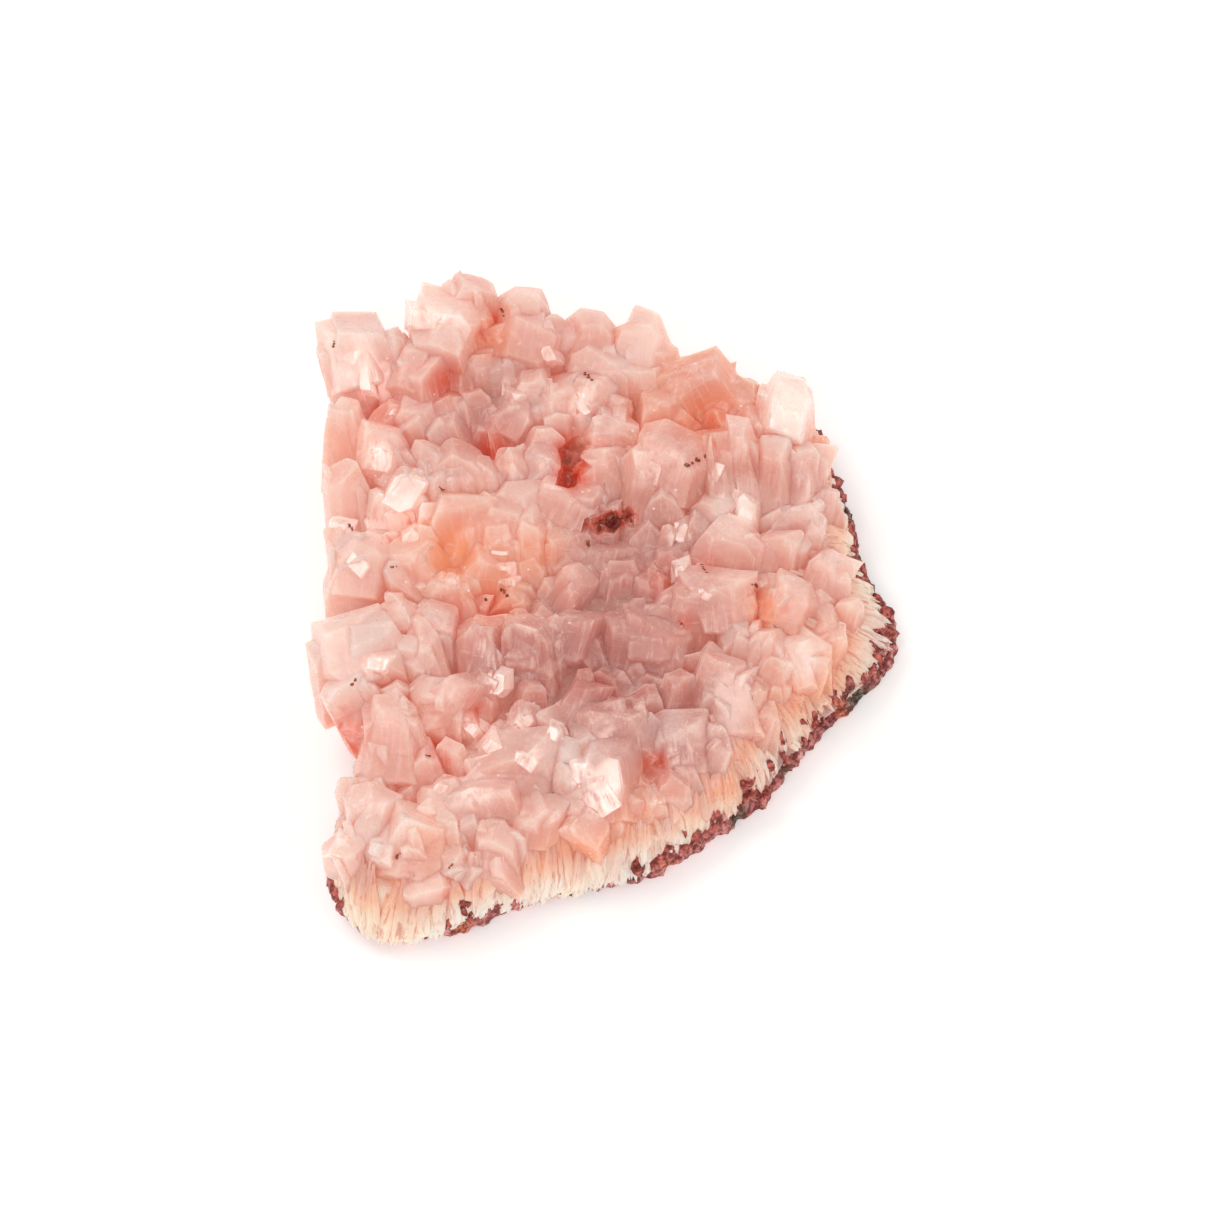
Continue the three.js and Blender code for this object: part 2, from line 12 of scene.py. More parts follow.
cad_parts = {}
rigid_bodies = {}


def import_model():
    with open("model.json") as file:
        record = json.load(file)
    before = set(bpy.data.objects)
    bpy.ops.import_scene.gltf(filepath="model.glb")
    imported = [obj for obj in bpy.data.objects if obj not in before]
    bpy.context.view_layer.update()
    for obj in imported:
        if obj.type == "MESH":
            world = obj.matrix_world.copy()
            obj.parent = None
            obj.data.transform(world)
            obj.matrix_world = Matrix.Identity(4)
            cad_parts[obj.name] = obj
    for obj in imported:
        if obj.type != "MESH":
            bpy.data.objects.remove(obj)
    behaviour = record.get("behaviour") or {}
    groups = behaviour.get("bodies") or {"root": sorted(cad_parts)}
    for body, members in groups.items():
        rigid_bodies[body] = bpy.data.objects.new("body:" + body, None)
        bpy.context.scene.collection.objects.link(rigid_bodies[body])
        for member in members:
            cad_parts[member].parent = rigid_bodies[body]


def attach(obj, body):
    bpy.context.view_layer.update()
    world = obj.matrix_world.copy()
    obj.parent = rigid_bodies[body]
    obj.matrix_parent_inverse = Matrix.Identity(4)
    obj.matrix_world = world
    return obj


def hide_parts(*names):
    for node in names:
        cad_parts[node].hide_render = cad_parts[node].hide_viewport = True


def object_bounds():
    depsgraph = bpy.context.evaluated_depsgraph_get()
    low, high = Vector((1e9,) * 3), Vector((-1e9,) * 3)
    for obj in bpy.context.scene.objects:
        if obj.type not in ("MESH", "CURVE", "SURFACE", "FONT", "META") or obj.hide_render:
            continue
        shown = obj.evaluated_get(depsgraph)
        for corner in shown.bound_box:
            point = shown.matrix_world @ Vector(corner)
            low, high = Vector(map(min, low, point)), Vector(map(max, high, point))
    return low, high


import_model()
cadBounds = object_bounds()
millimetre = 0.001

# The lay of the plate, in millimetres: places are given on a plane that faces a viewer 60 degrees above
# the horizon, as (across, up), with a height over the ground.
plate = {
    "faceLean": math.radians(60),
    "shift": (0.37, 5.09),
    "middle": (-1.5, -3.5),
    "rindThickness": 2.4,
    "rindLedge": 0.9,
    "rindUndercut": 1.6,
    "crustHeight": 7.6,
    "wallHeight": 7.4,
}
shift = np.array(plate["shift"])
rimMiddle = np.array(plate["middle"])
plateMiddle = rimMiddle + shift
leanCos, leanSin = math.cos(plate["faceLean"]), math.sin(plate["faceLean"])
away = np.array([0.0, leanCos, -leanSin])  # the way the viewer looks
sky = 60.0  # where rays towards the crystals start

# The rim: x, y and how far the broken side wall leans in from the rim to its top. Anticlockwise.
rimTable = [
    (-22.2, -39.2, 2.4), (-14.4, -38, 2.8), (-6.6, -34.8, 3), (-1.4, -33.5, 3.2), (4.6, -32.2, 3.4),
    (9.4, -29, 4.4), (13, -26.4, 4.8), (16, -24, 5.2), (18.2, -20.6, 5.2), (20.4, -18, 5), (22.6, -15.2, 5),
    (25.9, -11.9, 5.4), (28.6, -8.4, 6), (29.5, -5.2, 6.4), (28.7, -1.4, 6.2), (26.8, 1.6, 4.6),
    (25.9, 5.2, 3.8), (25.2, 9.2, 3.2), (23.7, 13.4, 2.6), (22.8, 16.8, 2.2), (20.6, 20.8, 1.6),
    (15.4, 23, 0.8), (8, 24.8, 0.6), (0.4, 25.6, 0.4), (-8, 26.8, 0.4), (-15, 27.4, 0.2),
    (-20.4, 25.6, 0.2), (-24.8, 22, 0), (-26, 15, 0), (-25.6, 8, 0.2), (-26, 1, -0.2), (-26.2, -6, -0.4),
    (-25.2, -12, 0.2), (-24.2, -17, 0.4), (-25.2, -23, 0.6), (-27, -30, 1.2), (-26.8, -35.4, 2),
]

# The crystals: tip across, tip up, tip height, foot across, foot up, width, depth, tip's share of the
# width and turn about the crystal's own axis in degrees.
crystalTable = [
    # the back left corner
    (-28.7, 27, 14, -28.3, 22.6, 2.8, 4, 0.8, 20), (-26.3, 28.9, 16, -25.5, 20.6, 6.6, 6, 0.95, -6),
    (-22.2, 28.2, 15, -22, 20.8, 3.6, 5, 0.8, 28), (-26.8, 20.8, 13, -28, 13.4, 3.4, 4, 0.8, 8),
    (-26.6, 14.1, 13, -27.4, 7.4, 4, 4, 0.8, -14), (-27.3, 20.4, 11, -26.4, 17.8, 1.8, 2.6, 0.6, 30),
    # along the back
    (-17.2, 29, 17, -18, 24.8, 7.2, 6.6, 0.75, 10), (-14, 34, 18, -14.4, 27.4, 5, 4.6, 0.3, -12),
    (-14.8, 30.4, 15.5, -15.1, 25.2, 6, 4, 0.7, 0), (-8.8, 32.2, 16.5, -8.4, 27, 5.2, 4.6, 0.5, 8),
    (-8.2, 28.6, 15, -6.8, 23.2, 6, 5, 0.8, -10), (-5.4, 28.6, 14.5, -5.4, 24.2, 3.6, 4, 0.7, 24),
    (-2.4, 28.8, 14.5, -1.6, 24.8, 5.4, 5.6, 0.6, 6), (2.4, 29.2, 14.5, 3.4, 20.8, 5, 5, 0.55, -8),
    (-0.3, 26, 14, -0.3, 20.4, 7, 5, 0.8, 12), (4.8, 27, 13.5, 5, 21.4, 4.4, 4, 0.6, 18),
    (9, 25.2, 12.5, 8.4, 17.4, 9, 7, 0.8, -6), (13, 22.4, 12, 12.9, 17.4, 5, 5, 0.7, 14),
    (6.2, 22, 12.5, 6.2, 16.4, 7, 5, 0.7, -16),
    # the clear crystal at the back right, and the right side
    (17.8, 22.4, 15, 19.6, 15.8, 5.6, 4.4, 0.85, 10), (19.7, 16.4, 12, 19.4, 8, 4.2, 4, 0.6, -12),
    (21, 17.4, 8.5, 21.8, 10.4, 3.6, 4, 0.6, 16), (22.2, 12.4, 9, 22.2, 5.8, 4.6, 4, 0.6, -8),
    (20.6, 10.6, 11, 20.4, 4.8, 4.2, 4, 0.7, 22), (22.2, 5.3, 10, 22.6, -1.4, 4.8, 4, 0.6, 0),
    (18.4, 2.1, 11, 18.6, -4.6, 4.6, 4, 0.8, -18), (19.5, -2.9, 10, 18.8, -8.6, 2.4, 3, 0.8, 12),
    (22, -0.6, 9, 21.4, -6.4, 3.6, 3.6, 0.6, -20), (17.8, 7.6, 11.5, 18, 2.4, 4, 4, 0.7, 10),
    # the upper middle
    (12.1, 18.1, 14, 13.2, 7.4, 5, 5, 0.8, 6), (16, 16.6, 12.5, 15.8, 8.4, 4, 4, 0.7, -14),
    (12.4, 19.6, 12.2, 12.4, 15.4, 5.8, 4, 0.6, 20), (5.4, 16.3, 13, 5.8, 8.9, 7.6, 6, 0.9, -4),
    (-0.6, 16.1, 12, -0.1, 9.2, 4.8, 5, 0.8, 10), (0.6, 19.5, 13, 0.6, 15.4, 5.4, 5, 0.6, -8),
    (-0.8, 23.4, 14, -3.2, 17.6, 3.8, 4, 0.7, 30), (-4.8, 23, 13, -4.8, 18, 4.2, 5, 0.8, -6),
    (-19.8, 26, 14.5, -19.6, 20.8, 3.8, 4, 0.9, -8), (-13.6, 25.6, 13, -13.8, 20.4, 4.6, 4, 0.7, 18),
    (-10.4, 25.6, 12.5, -10.4, 19.8, 5, 4, 0.8, -12), (-16.6, 21.4, 12, -16.1, 16.4, 4.6, 4, 0.7, 8),
    (-11.6, 20.8, 10.5, -11.4, 16.4, 4.2, 4, 0.6, -20), (-7.8, 22.4, 11.5, -7.6, 17.4, 4, 4, 0.9, 5),
    (-19.8, 20.9, 13, -19.4, 15.4, 4.2, 4, 0.7, 16), (-23, 16.8, 14, -22, 10.4, 4.6, 4.6, 0.7, -10),
    # the teeth left of the middle
    (-14.8, 16.5, 13.5, -15.4, 5.9, 5.6, 5, 0.45, 4), (-17.8, 16, 13, -17.6, 6.4, 4.2, 5, 0.6, -16),
    (-9.4, 16.4, 12.5, -10.1, 8.9, 3.2, 4, 0.3, 10), (-6.5, 16.2, 12.5, -7, 10.4, 3.8, 4, 0.35, -10),
    (-0.6, 10.9, 11.6, -7.6, 9.8, 4.2, 4.2, 0.35, 0), (-9, 12, 12, -8.8, 7.4, 5, 5, 0.7, 14),
    (-20.7, 13.8, 14, -21.2, 6.4, 5.8, 3, 0.3, 0), (-18.3, 7.4, 13, -19.1, 5, 2, 2.6, 0.7, -24),
    (-14.6, 11.4, 12.5, -14.4, 1.6, 7.5, 6, 0.8, -6), (-10.6, 10.6, 12, -10.4, 1.2, 4, 5, 0.8, 0),
    (-7.9, 10, 11.5, -7.4, 0.9, 4.4, 5, 0.7, 14), (-4.1, 8, 10.5, -4.3, 2.9, 4.6, 5, 0.8, -10),
    # the left side
    (-25.6, 6, 14, -26.2, -0.8, 6.4, 6, 0.7, 8), (-27, 7.6, 12.5, -27.6, 2.4, 2.8, 4, 0.7, -18),
    (-20.4, 6, 13, -19.8, 0.4, 5.2, 5, 0.8, 12), (-16.6, 3.2, 12, -16.6, -0.2, 4.6, 4, 0.7, -6),
    (-17.3, 0.3, 12.5, -18.2, -8.6, 4.6, 5, 0.5, 4), (-21.1, -0.6, 12.2, -20.8, -4.6, 4.2, 4, 0.7, 20),
    (-25, -1.2, 15, -25.2, -10.1, 7.6, 7, 0.7, -5), (-26.4, -7.2, 13, -25.2, -13.4, 5, 5, 0.8, 12),
    (-22.4, -4.4, 13.8, -22.4, -9.1, 3.6, 4, 0.9, -6), (-20.1, -3.4, 13, -20, -8.8, 2.4, 3, 0.9, 14),
    (-25.4, -10.6, 11, -24.8, -14.8, 3.4, 4, 0.7, 30), (-21.5, -9, 14, -22.2, -19.1, 5.4, 5, 0.75, -8),
    (-17.4, -7.4, 12.5, -18, -14.8, 4.8, 5, 0.7, 10),
    # the middle
    (-12.8, -1.2, 12, -12.6, -9.8, 4.6, 5, 0.7, -4), (-7.7, -1.2, 12, -7.8, -8.6, 5.2, 5, 0.7, 12),
    (-3.8, -0.6, 10.5, -4.4, -6.4, 4.6, 4, 0.7, -14), (-2.4, 3.6, 10.5, -5, -0.8, 3.8, 4, 0.8, 18),
    (-10.8, 1.4, 9.6, -10.6, -1.4, 5, 3, 0.7, 0), (3.4, -1.3, 10.5, 3.4, -7.4, 7.8, 5, 0.85, 6),
    (1.2, 4.8, 9, 1.2, -0.6, 4.2, 4, 0.8, -16), (4.2, 3.1, 8.8, 4.4, -1.6, 3.6, 4, 0.8, 22),
    (4.6, 9, 9.2, 4.2, 4.4, 3.6, 3.6, 0.5, -8), (6.4, 6.1, 9, 6.2, 1.4, 3.4, 3.6, 0.7, 26),
    (8.2, 8.7, 10.4, 6.6, 5.6, 1.8, 2.2, 0.9, -12), (7.2, 4.2, 9.8, 8.6, 1.4, 1.6, 1.8, 0.9, 20),
    (12.9, 7.8, 11.5, 12.9, 1.4, 7.6, 5, 0.8, -6), (10.6, 2.9, 12, 10.2, -4.1, 7.6, 5, 0.85, 5),
    (11.6, -5, 11.5, 11.6, -13.8, 5, 4, 1, -4), (16.2, -2.2, 10.5, 15.8, -9.6, 4.6, 4, 0.7, 14),
    # the front
    (8, -11.1, 10.5, 7.2, -19, 4.8, 4.5, 0.45, 6), (5.9, -12.1, 10, 5.7, -16.6, 3, 3.5, 0.5, -22),
    (0.2, -9.6, 12.5, 0.6, -18.6, 7.6, 6, 0.75, 8), (-1.4, -15.1, 12, -1.8, -23, 5.4, 4, 0.9, -10),
    (-2.5, -6.6, 10.5, -2.3, -10.6, 2.2, 2.6, 0.8, 8), (-8.4, -13.1, 12, -8.2, -20.1, 9, 6, 0.9, 4),
    (-5.4, -10.6, 11.2, -5.4, -14.1, 3.2, 3, 0.8, -14), (-8.3, -10.2, 11.2, -8.6, -13.6, 3, 3, 0.7, 20),
    (-11.6, -6.2, 12, -13.4, -12.6, 4, 4, 0.8, -8), (-23.6, -17.7, 12.5, -24.6, -24.6, 4.6, 4.5, 0.7, 10),
    (-25.9, -22.6, 11, -27.2, -29, 4, 4.5, 0.7, -8), (-25.6, -17.4, 11, -26.8, -23.2, 2.4, 3, 0.7, 24),
    (-19.4, -19.5, 12.5, -20.4, -29.4, 7, 6, 0.6, -4), (-12.8, -17, 12, -12, -24.6, 7, 5, 0.8, 10),
    (-15.8, -17.2, 11.5, -15.2, -22.6, 3, 3.6, 0.7, -16), (-10.9, -21.5, 11, -11.4, -27, 3.8, 4, 0.6, 4),
    (-16, -23.8, 10.5, -15.8, -27.6, 3.2, 3.6, 0.6, 18), (-7.2, -19.4, 11, -6.8, -24.6, 4.8, 4.2, 0.7, -12),
    (-2.4, -20.8, 10.4, -2.6, -24.6, 5.2, 4, 0.8, 8), (3, -17.6, 10.2, 3.4, -22.6, 4.8, 3.8, 0.7, -6),
    # small ones that fill the gaps between their neighbours
    (-11.3, 28.8, 13.4, -11.2, 23, 4.2, 5, 0.8, 12), (-15.4, -22.6, 9.8, -15.4, -27.6, 2.6, 3.2, 0.9, 0),
    (-12, 11.8, 10.8, -12, 7.6, 2.2, 3.4, 0.9, 0), (1.9, 14.4, 9.6, 1.9, 10, 2, 5, 0.9, 0),
    # blades along the top of the wall
    (19.6, -3, 10, 19.8, -9.6, 2.6, 3, 0.8, 10), (17.2, -5, 9.8, 17.6, -11.4, 3.4, 3.2, 0.7, -8),
    (21.4, -4.6, 9.2, 21.8, -10.4, 2.8, 3, 0.6, 14), (14.6, -8, 9.8, 14.8, -14.4, 3.2, 3.2, 0.6, 5),
    (16.2, -10, 8.8, 16.6, -15.2, 2.6, 2.8, 0.5, -10), (11.2, -13, 9.6, 11.2, -18.4, 2.8, 3, 0.5, 8),
    (23.4, -2.2, 8.8, 23.8, -7.8, 2.6, 2.8, 0.6, -6), (24.6, 0.8, 8.6, 25.2, -4.2, 2.4, 2.8, 0.6, 8),
    (23.6, 3.6, 9, 24, -2, 2.6, 2.8, 0.7, -12), (6.8, -16.2, 9.8, 6.8, -22.2, 3, 3, 0.6, 4),
]


def placed(across, up, height):
    return np.array([across + shift[0], (up - height * leanCos) / leanSin + shift[1], height])


def seenFrom(points):
    # The reverse of placed: each point's across and up.
    up = (points[:, 1] - shift[1]) * leanSin + points[:, 2] * leanCos
    return np.column_stack([points[:, 0] - shift[0], up])


def unit(way):
    return way / np.linalg.norm(way)


def spun(side, other, turn):
    # A pair of directions turned in their own plane.
    cosine, sine = math.cos(turn), math.sin(turn)
    return side * cosine + other * sine, other * cosine - side * sine


def smoothNoise(points, scale, seed=0.0):
    # Smooth noise from -1 to 1 at each point, with lumps of about this many millimetres.
    return np.array([noise.noise(Vector(p) / scale + Vector((seed, 2 * seed, -seed))) for p in points])


def step(low, high, value):
    t = np.clip((value - low) / (high - low), 0, 1)
    return t * t * (3 - 2 * t)


def rimRing(count):
    table = np.array(rimTable)
    before, after, next2 = (np.roll(table, k, axis=0) for k in (1, -1, -2))
    curve = [0.5 * (2 * table + (after - before) * t + (2 * before - 5 * table + 4 * after - next2) * t**2
                    + (3 * table - before - 3 * after + next2) * t**3)
             for t in np.linspace(0, 1, 24, endpoint=False)]
    curve = np.stack(curve, axis=1).reshape(-1, 3)
    closed = np.vstack([curve, curve[:1]])
    run = np.concatenate([[0], np.cumsum(np.linalg.norm(np.diff(closed, axis=0), axis=1))])
    places = np.linspace(0, run[-1], count, endpoint=False)
    return np.column_stack([np.interp(places, run, closed[:, k]) for k in range(3)])


def ringAt(rim, share, grow, heightOf):
    # The rim drawn in to this share of its distance from the middle, then moved outwards.
    out = rim[:, :2] - rimMiddle
    reach = np.linalg.norm(out, axis=1, keepdims=True)
    ring = rimMiddle + out * share + out / reach * np.reshape(grow, (-1, 1)) + shift
    ring = np.column_stack([ring, np.zeros(len(ring))])
    ring[:, 2] = heightOf(ring)
    return ring


def skin(rings, lowest, highest):
    # A closed skin through rings of equal count, from a lowest to a highest point: vertices and faces.
    count = len(rings[0])
    vertices = np.vstack([lowest, *rings, highest])
    top = 1 + (len(rings) - 1) * count
    faces = []
    for i in range(count):
        j = (i + 1) % count
        faces.append((0, 1 + j, 1 + i))
        for a in range(1, top, count):
            faces.append((a + i, a + j, a + count + j, a + count + i))
        faces.append((top + i, top + j, len(vertices) - 1))
    return vertices, faces


def partingHeight(points, atRim):
    # Where the rock ends and the crystals begin.
    x, y = (points[:, :2] - shift).T
    uneven = 0.3 * np.sin(0.55 * x + 1.0) * np.cos(0.5 * y) + 0.2 * np.sin(0.9 * x + 0.7 * y)
    return plate["rindThickness"] + uneven + (0.5 if atRim else 0.0)


def atRim(rim, values, points):
    # The rim's values at the place on it that lies straight outwards from each point.
    outward, towards = rim[:, :2] - rimMiddle, points[:, :2] - rimMiddle - shift
    angles = np.arctan2(outward[:, 1], outward[:, 0])
    return np.interp(np.arctan2(towards[:, 1], towards[:, 0]), angles, values, period=2 * math.pi)


def insideRim(rim, points, share=1.0):
    # How far each point lies inside the broken wall, at this share of the way up its lean.
    reach = np.linalg.norm(rim[:, :2] - rimMiddle, axis=1) - share * np.maximum(rim[:, 2], 0)
    return atRim(rim, reach, points) - np.linalg.norm(points[:, :2] - rimMiddle - shift, axis=1)


def putInScene(name, data, collection=None):
    thing = bpy.data.objects.new(name, data)
    (collection or bpy.context.scene.collection).objects.link(thing)
    return thing


# One crystal: a block cut by flats.
crystalShape = {
    "frontPlates": (1, 3),
    "sidePlates": (0, 2),
    "plateLean": math.radians(3),
    "frontDrop": (0.5, 2.2),  # how much lower each plate on the front ends than the one behind it
    "frontStep": (0.25, 0.7),  # how proud it stands of the one behind it
    "sideDrop": (0.3, 3.0),
    "crestTeeth": (0, 3),
    "crestDrop": (-0.4, 0.9),
    "wear": 0.07,  # how far the edges of a large crystal are blunted
    "fillet": 1.05,  # how much the creases between crystals are filled
    "rounding": 0.55,  # how much their ridges and corners are rounded off
    "unevenness": (0.14, 4.0, 0.06, 1.1),  # of the flats: broad, its size, fine, its size
    "longestEdge": 1.25,
    "shortestEdge": 0.05,
    "sharpAngle": math.radians(28),
    "seed": 7,
}


def convexSolid(flats):
    # The solid inside all the flats. Each flat is a unit direction and its distance from the origin.
    normals, distances = (np.array(part) for part in zip(*flats))
    triples = np.array(list(itertools.combinations(range(len(flats)), 3)))
    matrices = normals[triples]
    meeting = np.abs(np.linalg.det(matrices)) > 1e-4
    corners = np.linalg.solve(matrices[meeting], distances[triples[meeting]][..., None])[..., 0]
    corners = corners[(corners @ normals.T <= distances + 1e-6).all(axis=1)]
    corners = np.unique(np.round(corners, 4), axis=0)
    faces = []
    for normal, distance in zip(normals, distances):
        on = np.flatnonzero(np.abs(corners @ normal - distance) < 4e-4)
        if len(on) > 2:
            spokes = corners[on] - corners[on].mean(axis=0)
            side = unit(spokes[0])
            angles = np.arctan2(spokes @ np.cross(normal, side), spokes @ side)
            faces.append(tuple(on[np.argsort(angles)]))
    return corners, faces


def isClosed(faces):
    sides = [(face[k - 1], face[k]) for face in faces for k in range(len(face))]
    return len(set(sides)) == len(sides) and {(b, a) for a, b in sides} == set(sides)


def cutBlock(*sizes, **choices):
    # One crystal's solid. Cuts that happen to meet in a sliver are drawn again.
    while True:
        corners, faces = convexSolid(cutFlats(*sizes, **choices))
        if isClosed(faces):
            return corners, faces


def cutFlats(width, depth, length, tipShare, rng, worn=0.6):
    # The flats of one crystal in its own axes: across, facing and along.
    flats = []

    def cut(direction, through):
        normal = unit(np.array(direction, dtype=float))
        flats.append((normal, float(normal @ np.array(through))))

    half, deep, draw = width / 2, depth / 2, rng.uniform
    tipShare *= 0.8
    cut((0, 0, -1), (0, 0, 0))
    # the top: a gable with its ridge from front to back, or one slant
    back = draw(-0.55, 0.25)
    if rng.random() < 1.25 - 1.5 * tipShare:
        apex = draw(-0.3, 0.3) * width
        for side in (-1, 1):
            cut((side * draw(0.2, 0.75) * (1.5 - tipShare), back, 1), (apex, 0.2 * deep, length))
    else:
        cut((draw(-0.7, 0.7), back, 1), (0, 0.2 * deep, length))
    for side in (-1, 1):
        cut((side, 0, draw(0.0, 0.2)), (side * half, 0, 0.75 * length))
        cut((0, side, draw(0.0, 0.14)), (0, side * deep, 0.75 * length))
        share = min(0.95, tipShare * draw(0.45, 1.4))
        shoulder = (1 - share) * half + 0.06 * width
        drop = shoulder * draw(0.5, 2.2)
        cut((side * drop, draw(-0.2, 0.2) * width, shoulder), (side * half * share, 0, length))
        if rng.random() < worn:
            cut((0, side, draw(0.5, 1.4)), (0, side * deep * draw(0.4, 0.85), length))
    for side, front in itertools.product((-1, 1), repeat=2):
        if rng.random() < worn:
            off = half - draw(0.08, 0.42) * min(width, depth)
            cut((side * draw(0.6, 1.8), front, draw(0, 0.12)), (side * off, front * deep, 0.7 * length))
        if rng.random() < 0.5 * worn:
            cut((side, front, draw(0.5, 1.6)), (side * half * 0.8, front * deep * 0.8, length - 0.1 * width))
    return flats


def blunted(corners, faces, wear):
    # The same solid with its edges blunted by a narrow flat.
    bm = bmesh.new()
    made = [bm.verts.new(corner) for corner in corners]
    for face in faces:
        bm.faces.new([made[k] for k in face])
    bmesh.ops.bevel(bm, geom=bm.edges[:], offset=wear, segments=1, affect="EDGES", clamp_overlap=True)
    bm.verts.index_update()
    corners = np.array([vertex.co[:] for vertex in bm.verts])
    faces = [tuple(vertex.index for vertex in face.verts) for face in bm.faces]
    bm.free()
    return corners, faces


def standing(solid, foot, across, facing, axis, tone):
    # A solid set on its foot, with its lay for the paint: foot, axes, tone and top.
    corners, faces = solid
    if np.dot(np.cross(across, facing), axis) < 0:
        faces = [face[::-1] for face in faces]
    lay = (foot, across, facing, axis, tone, corners[:, 2].max())
    return foot + corners @ np.array([across, facing, axis]), faces, lay


def crystalFrame(foot, tip, turn):
    axis = unit(tip - foot)
    across = unit(np.cross(axis, -away))
    return *spun(across, np.cross(across, axis), turn), axis


def tucked(foot, width, rim):
    # The foot drawn in towards the middle until it is buried in the wall. Where the wall stands upright the
    # crystals come out over it.
    here = foot[None, :]
    leaning = step(0.3, 2.0, atRim(rim, rim[:, 2], here)[0])
    short = max(0.0, (0.45 * width + 0.6) * leaning - 0.5 * (1 - leaning) - insideRim(rim, here, 0.4)[0])
    return foot + np.array([*(unit(plateMiddle - foot[:2]) * short), 0.0])


def crystalPlates(row, rim, rng):
    # One large crystal: plates that grew nearly side by side, some of them lower than the first.
    tipX, tipUp, tipZ, footX, footUp, width, depth, tipShare, turn = row
    rise = 0.9 * (tipUp - footUp) + 0.3 * abs(tipX - footX)
    foot = placed(footX, footUp, min(5.2, max(3.6, tipZ - rise)))
    root = np.array([*plateMiddle, foot[2]])
    foot = tucked(root + (foot - root) * 0.92, width, rim)
    tip = placed(tipX, tipUp, tipZ)
    turned = math.radians(1.2 * turn + rng.gauss(0, 10))
    across, facing, axis = crystalFrame(foot, tip, turned)
    tone = rng.uniform(-1, 1)
    plates = [(1.0, 0.85, 0.0, 0.0, 0.0)]  # each plate's share of the width and depth, aside, ahead and drop
    room, draw, shape = insideRim(rim, foot[None, :])[0], rng.uniform, crystalShape
    if min(width, depth) > 2.4:
        proud, drop = 0.0, 0.0
        for _ in range(rng.randint(*((0, 0) if room < 3.0 or width > 6.5 else shape["frontPlates"]))):
            proud += draw(*shape["frontStep"])
            drop += draw(*shape["frontDrop"])
            share = draw(0.42, 0.88)
            plates.append((share, 0.6, draw(-0.55, 0.55) * (1 - share), 0.125 + proud / depth, drop))
        for _ in range(rng.randint(*shape["sidePlates"])):
            share = draw(0.3, 0.5)
            aside = rng.choice((-1, 1)) * (0.5 - draw(0.0, 0.35) * share)
            plates.append((share, draw(0.45, 0.8), aside, draw(-0.2, 0.2), draw(*shape["sideDrop"])))
        for _ in range(rng.randint(*shape["crestTeeth"])):
            plates.append((draw(0.16, 0.34), draw(0.3, 0.6), draw(-0.5, 0.5) * tipShare, draw(-0.25, 0.3),
                           draw(*shape["crestDrop"])))
    made = []
    for wide, deep, aside, ahead, drop in plates:
        wobble = shape["plateLean"] if drop else 0.0
        offset = across * aside * width + facing * ahead * depth
        start = foot + offset
        end = tip + offset - axis * drop + (across * draw(-1, 1) + facing * draw(-1, 1)) * wobble * 8
        ways = crystalFrame(start, end, turned + draw(-1, 1) * 2.5 * wobble)
        solid = cutBlock(wide * width, deep * depth, np.linalg.norm(end - start), tipShare, rng)
        made.append(standing(blunted(*solid, shape["wear"]), start, *ways, tone + draw(-0.35, 0.35)))
    return made


# The crystals that fill the gaps between the large ones.
fillers = {
    # width range, how far the tips stay under the tips round them, closeness, how many at most
    "rounds": [((3.2, 5.6), (1.7, 3.5), 0.58, 120), ((1.6, 2.8), (1.6, 3.4), 0.66, 80)],
    "reach": 3.6,  # how far round a place its neighbours' tips are looked for
    "cell": 0.7,  # of the level grid of places
    "corner": (-31.0, -36.0),
    "cells": (90, 103),
    "seed": 19,
}

# The deep hollows that stay open, as (across, up, radius, depth).
hollows = [
    (-3.6, 15.4, 1.6, 3.8), (-3.4, 13.2, 1.5, 3.8), (-4.6, 16.6, 1.2, 2.1), (0.2, 8.7, 1.3, 5),
    (-1.4, 7.6, 1.1, 4.4), (2.2, 9, 0.8, 4), (-16.9, 23, 1.5, 1.8), (-22.8, 19.8, 1.2, 1.4),
    (-11.6, 16.6, 1.6, 2.1), (-15.6, -1.6, 1.3, 2.1), (-11.6, 0.3, 1.6, 2.1), (9.1, 14.6, 0.7, 2.1),
    (-1.9, 23.3, 0.8, 2.1), (15.7, 0.1, 1.8, 2.1), (-26, -13, 2, 1.8), (4.8, -15.4, 1.3, 2.1),
    (-13.2, -10, 1, 2), (-16.6, -14.8, 1.4, 2.1), (-12.1, 28.2, 1.4, 2), (1.9, -9.4, 2.6, 1.2),
    (8, -8.6, 2.6, 1.2), (-16.2, -21.4, 1.8, 1.2), (10, 4, 0.9, 2.1), (-4, -3.5, 1.4, 1.2),
]


def treeOf(solids):
    corners, polygons = [], []
    for vertices, faces, _ in solids:
        polygons += [tuple(k + len(corners) for k in face) for face in faces]
        corners += [Vector(vertex) for vertex in vertices]
    return BVHTree.FromPolygons(corners, polygons)


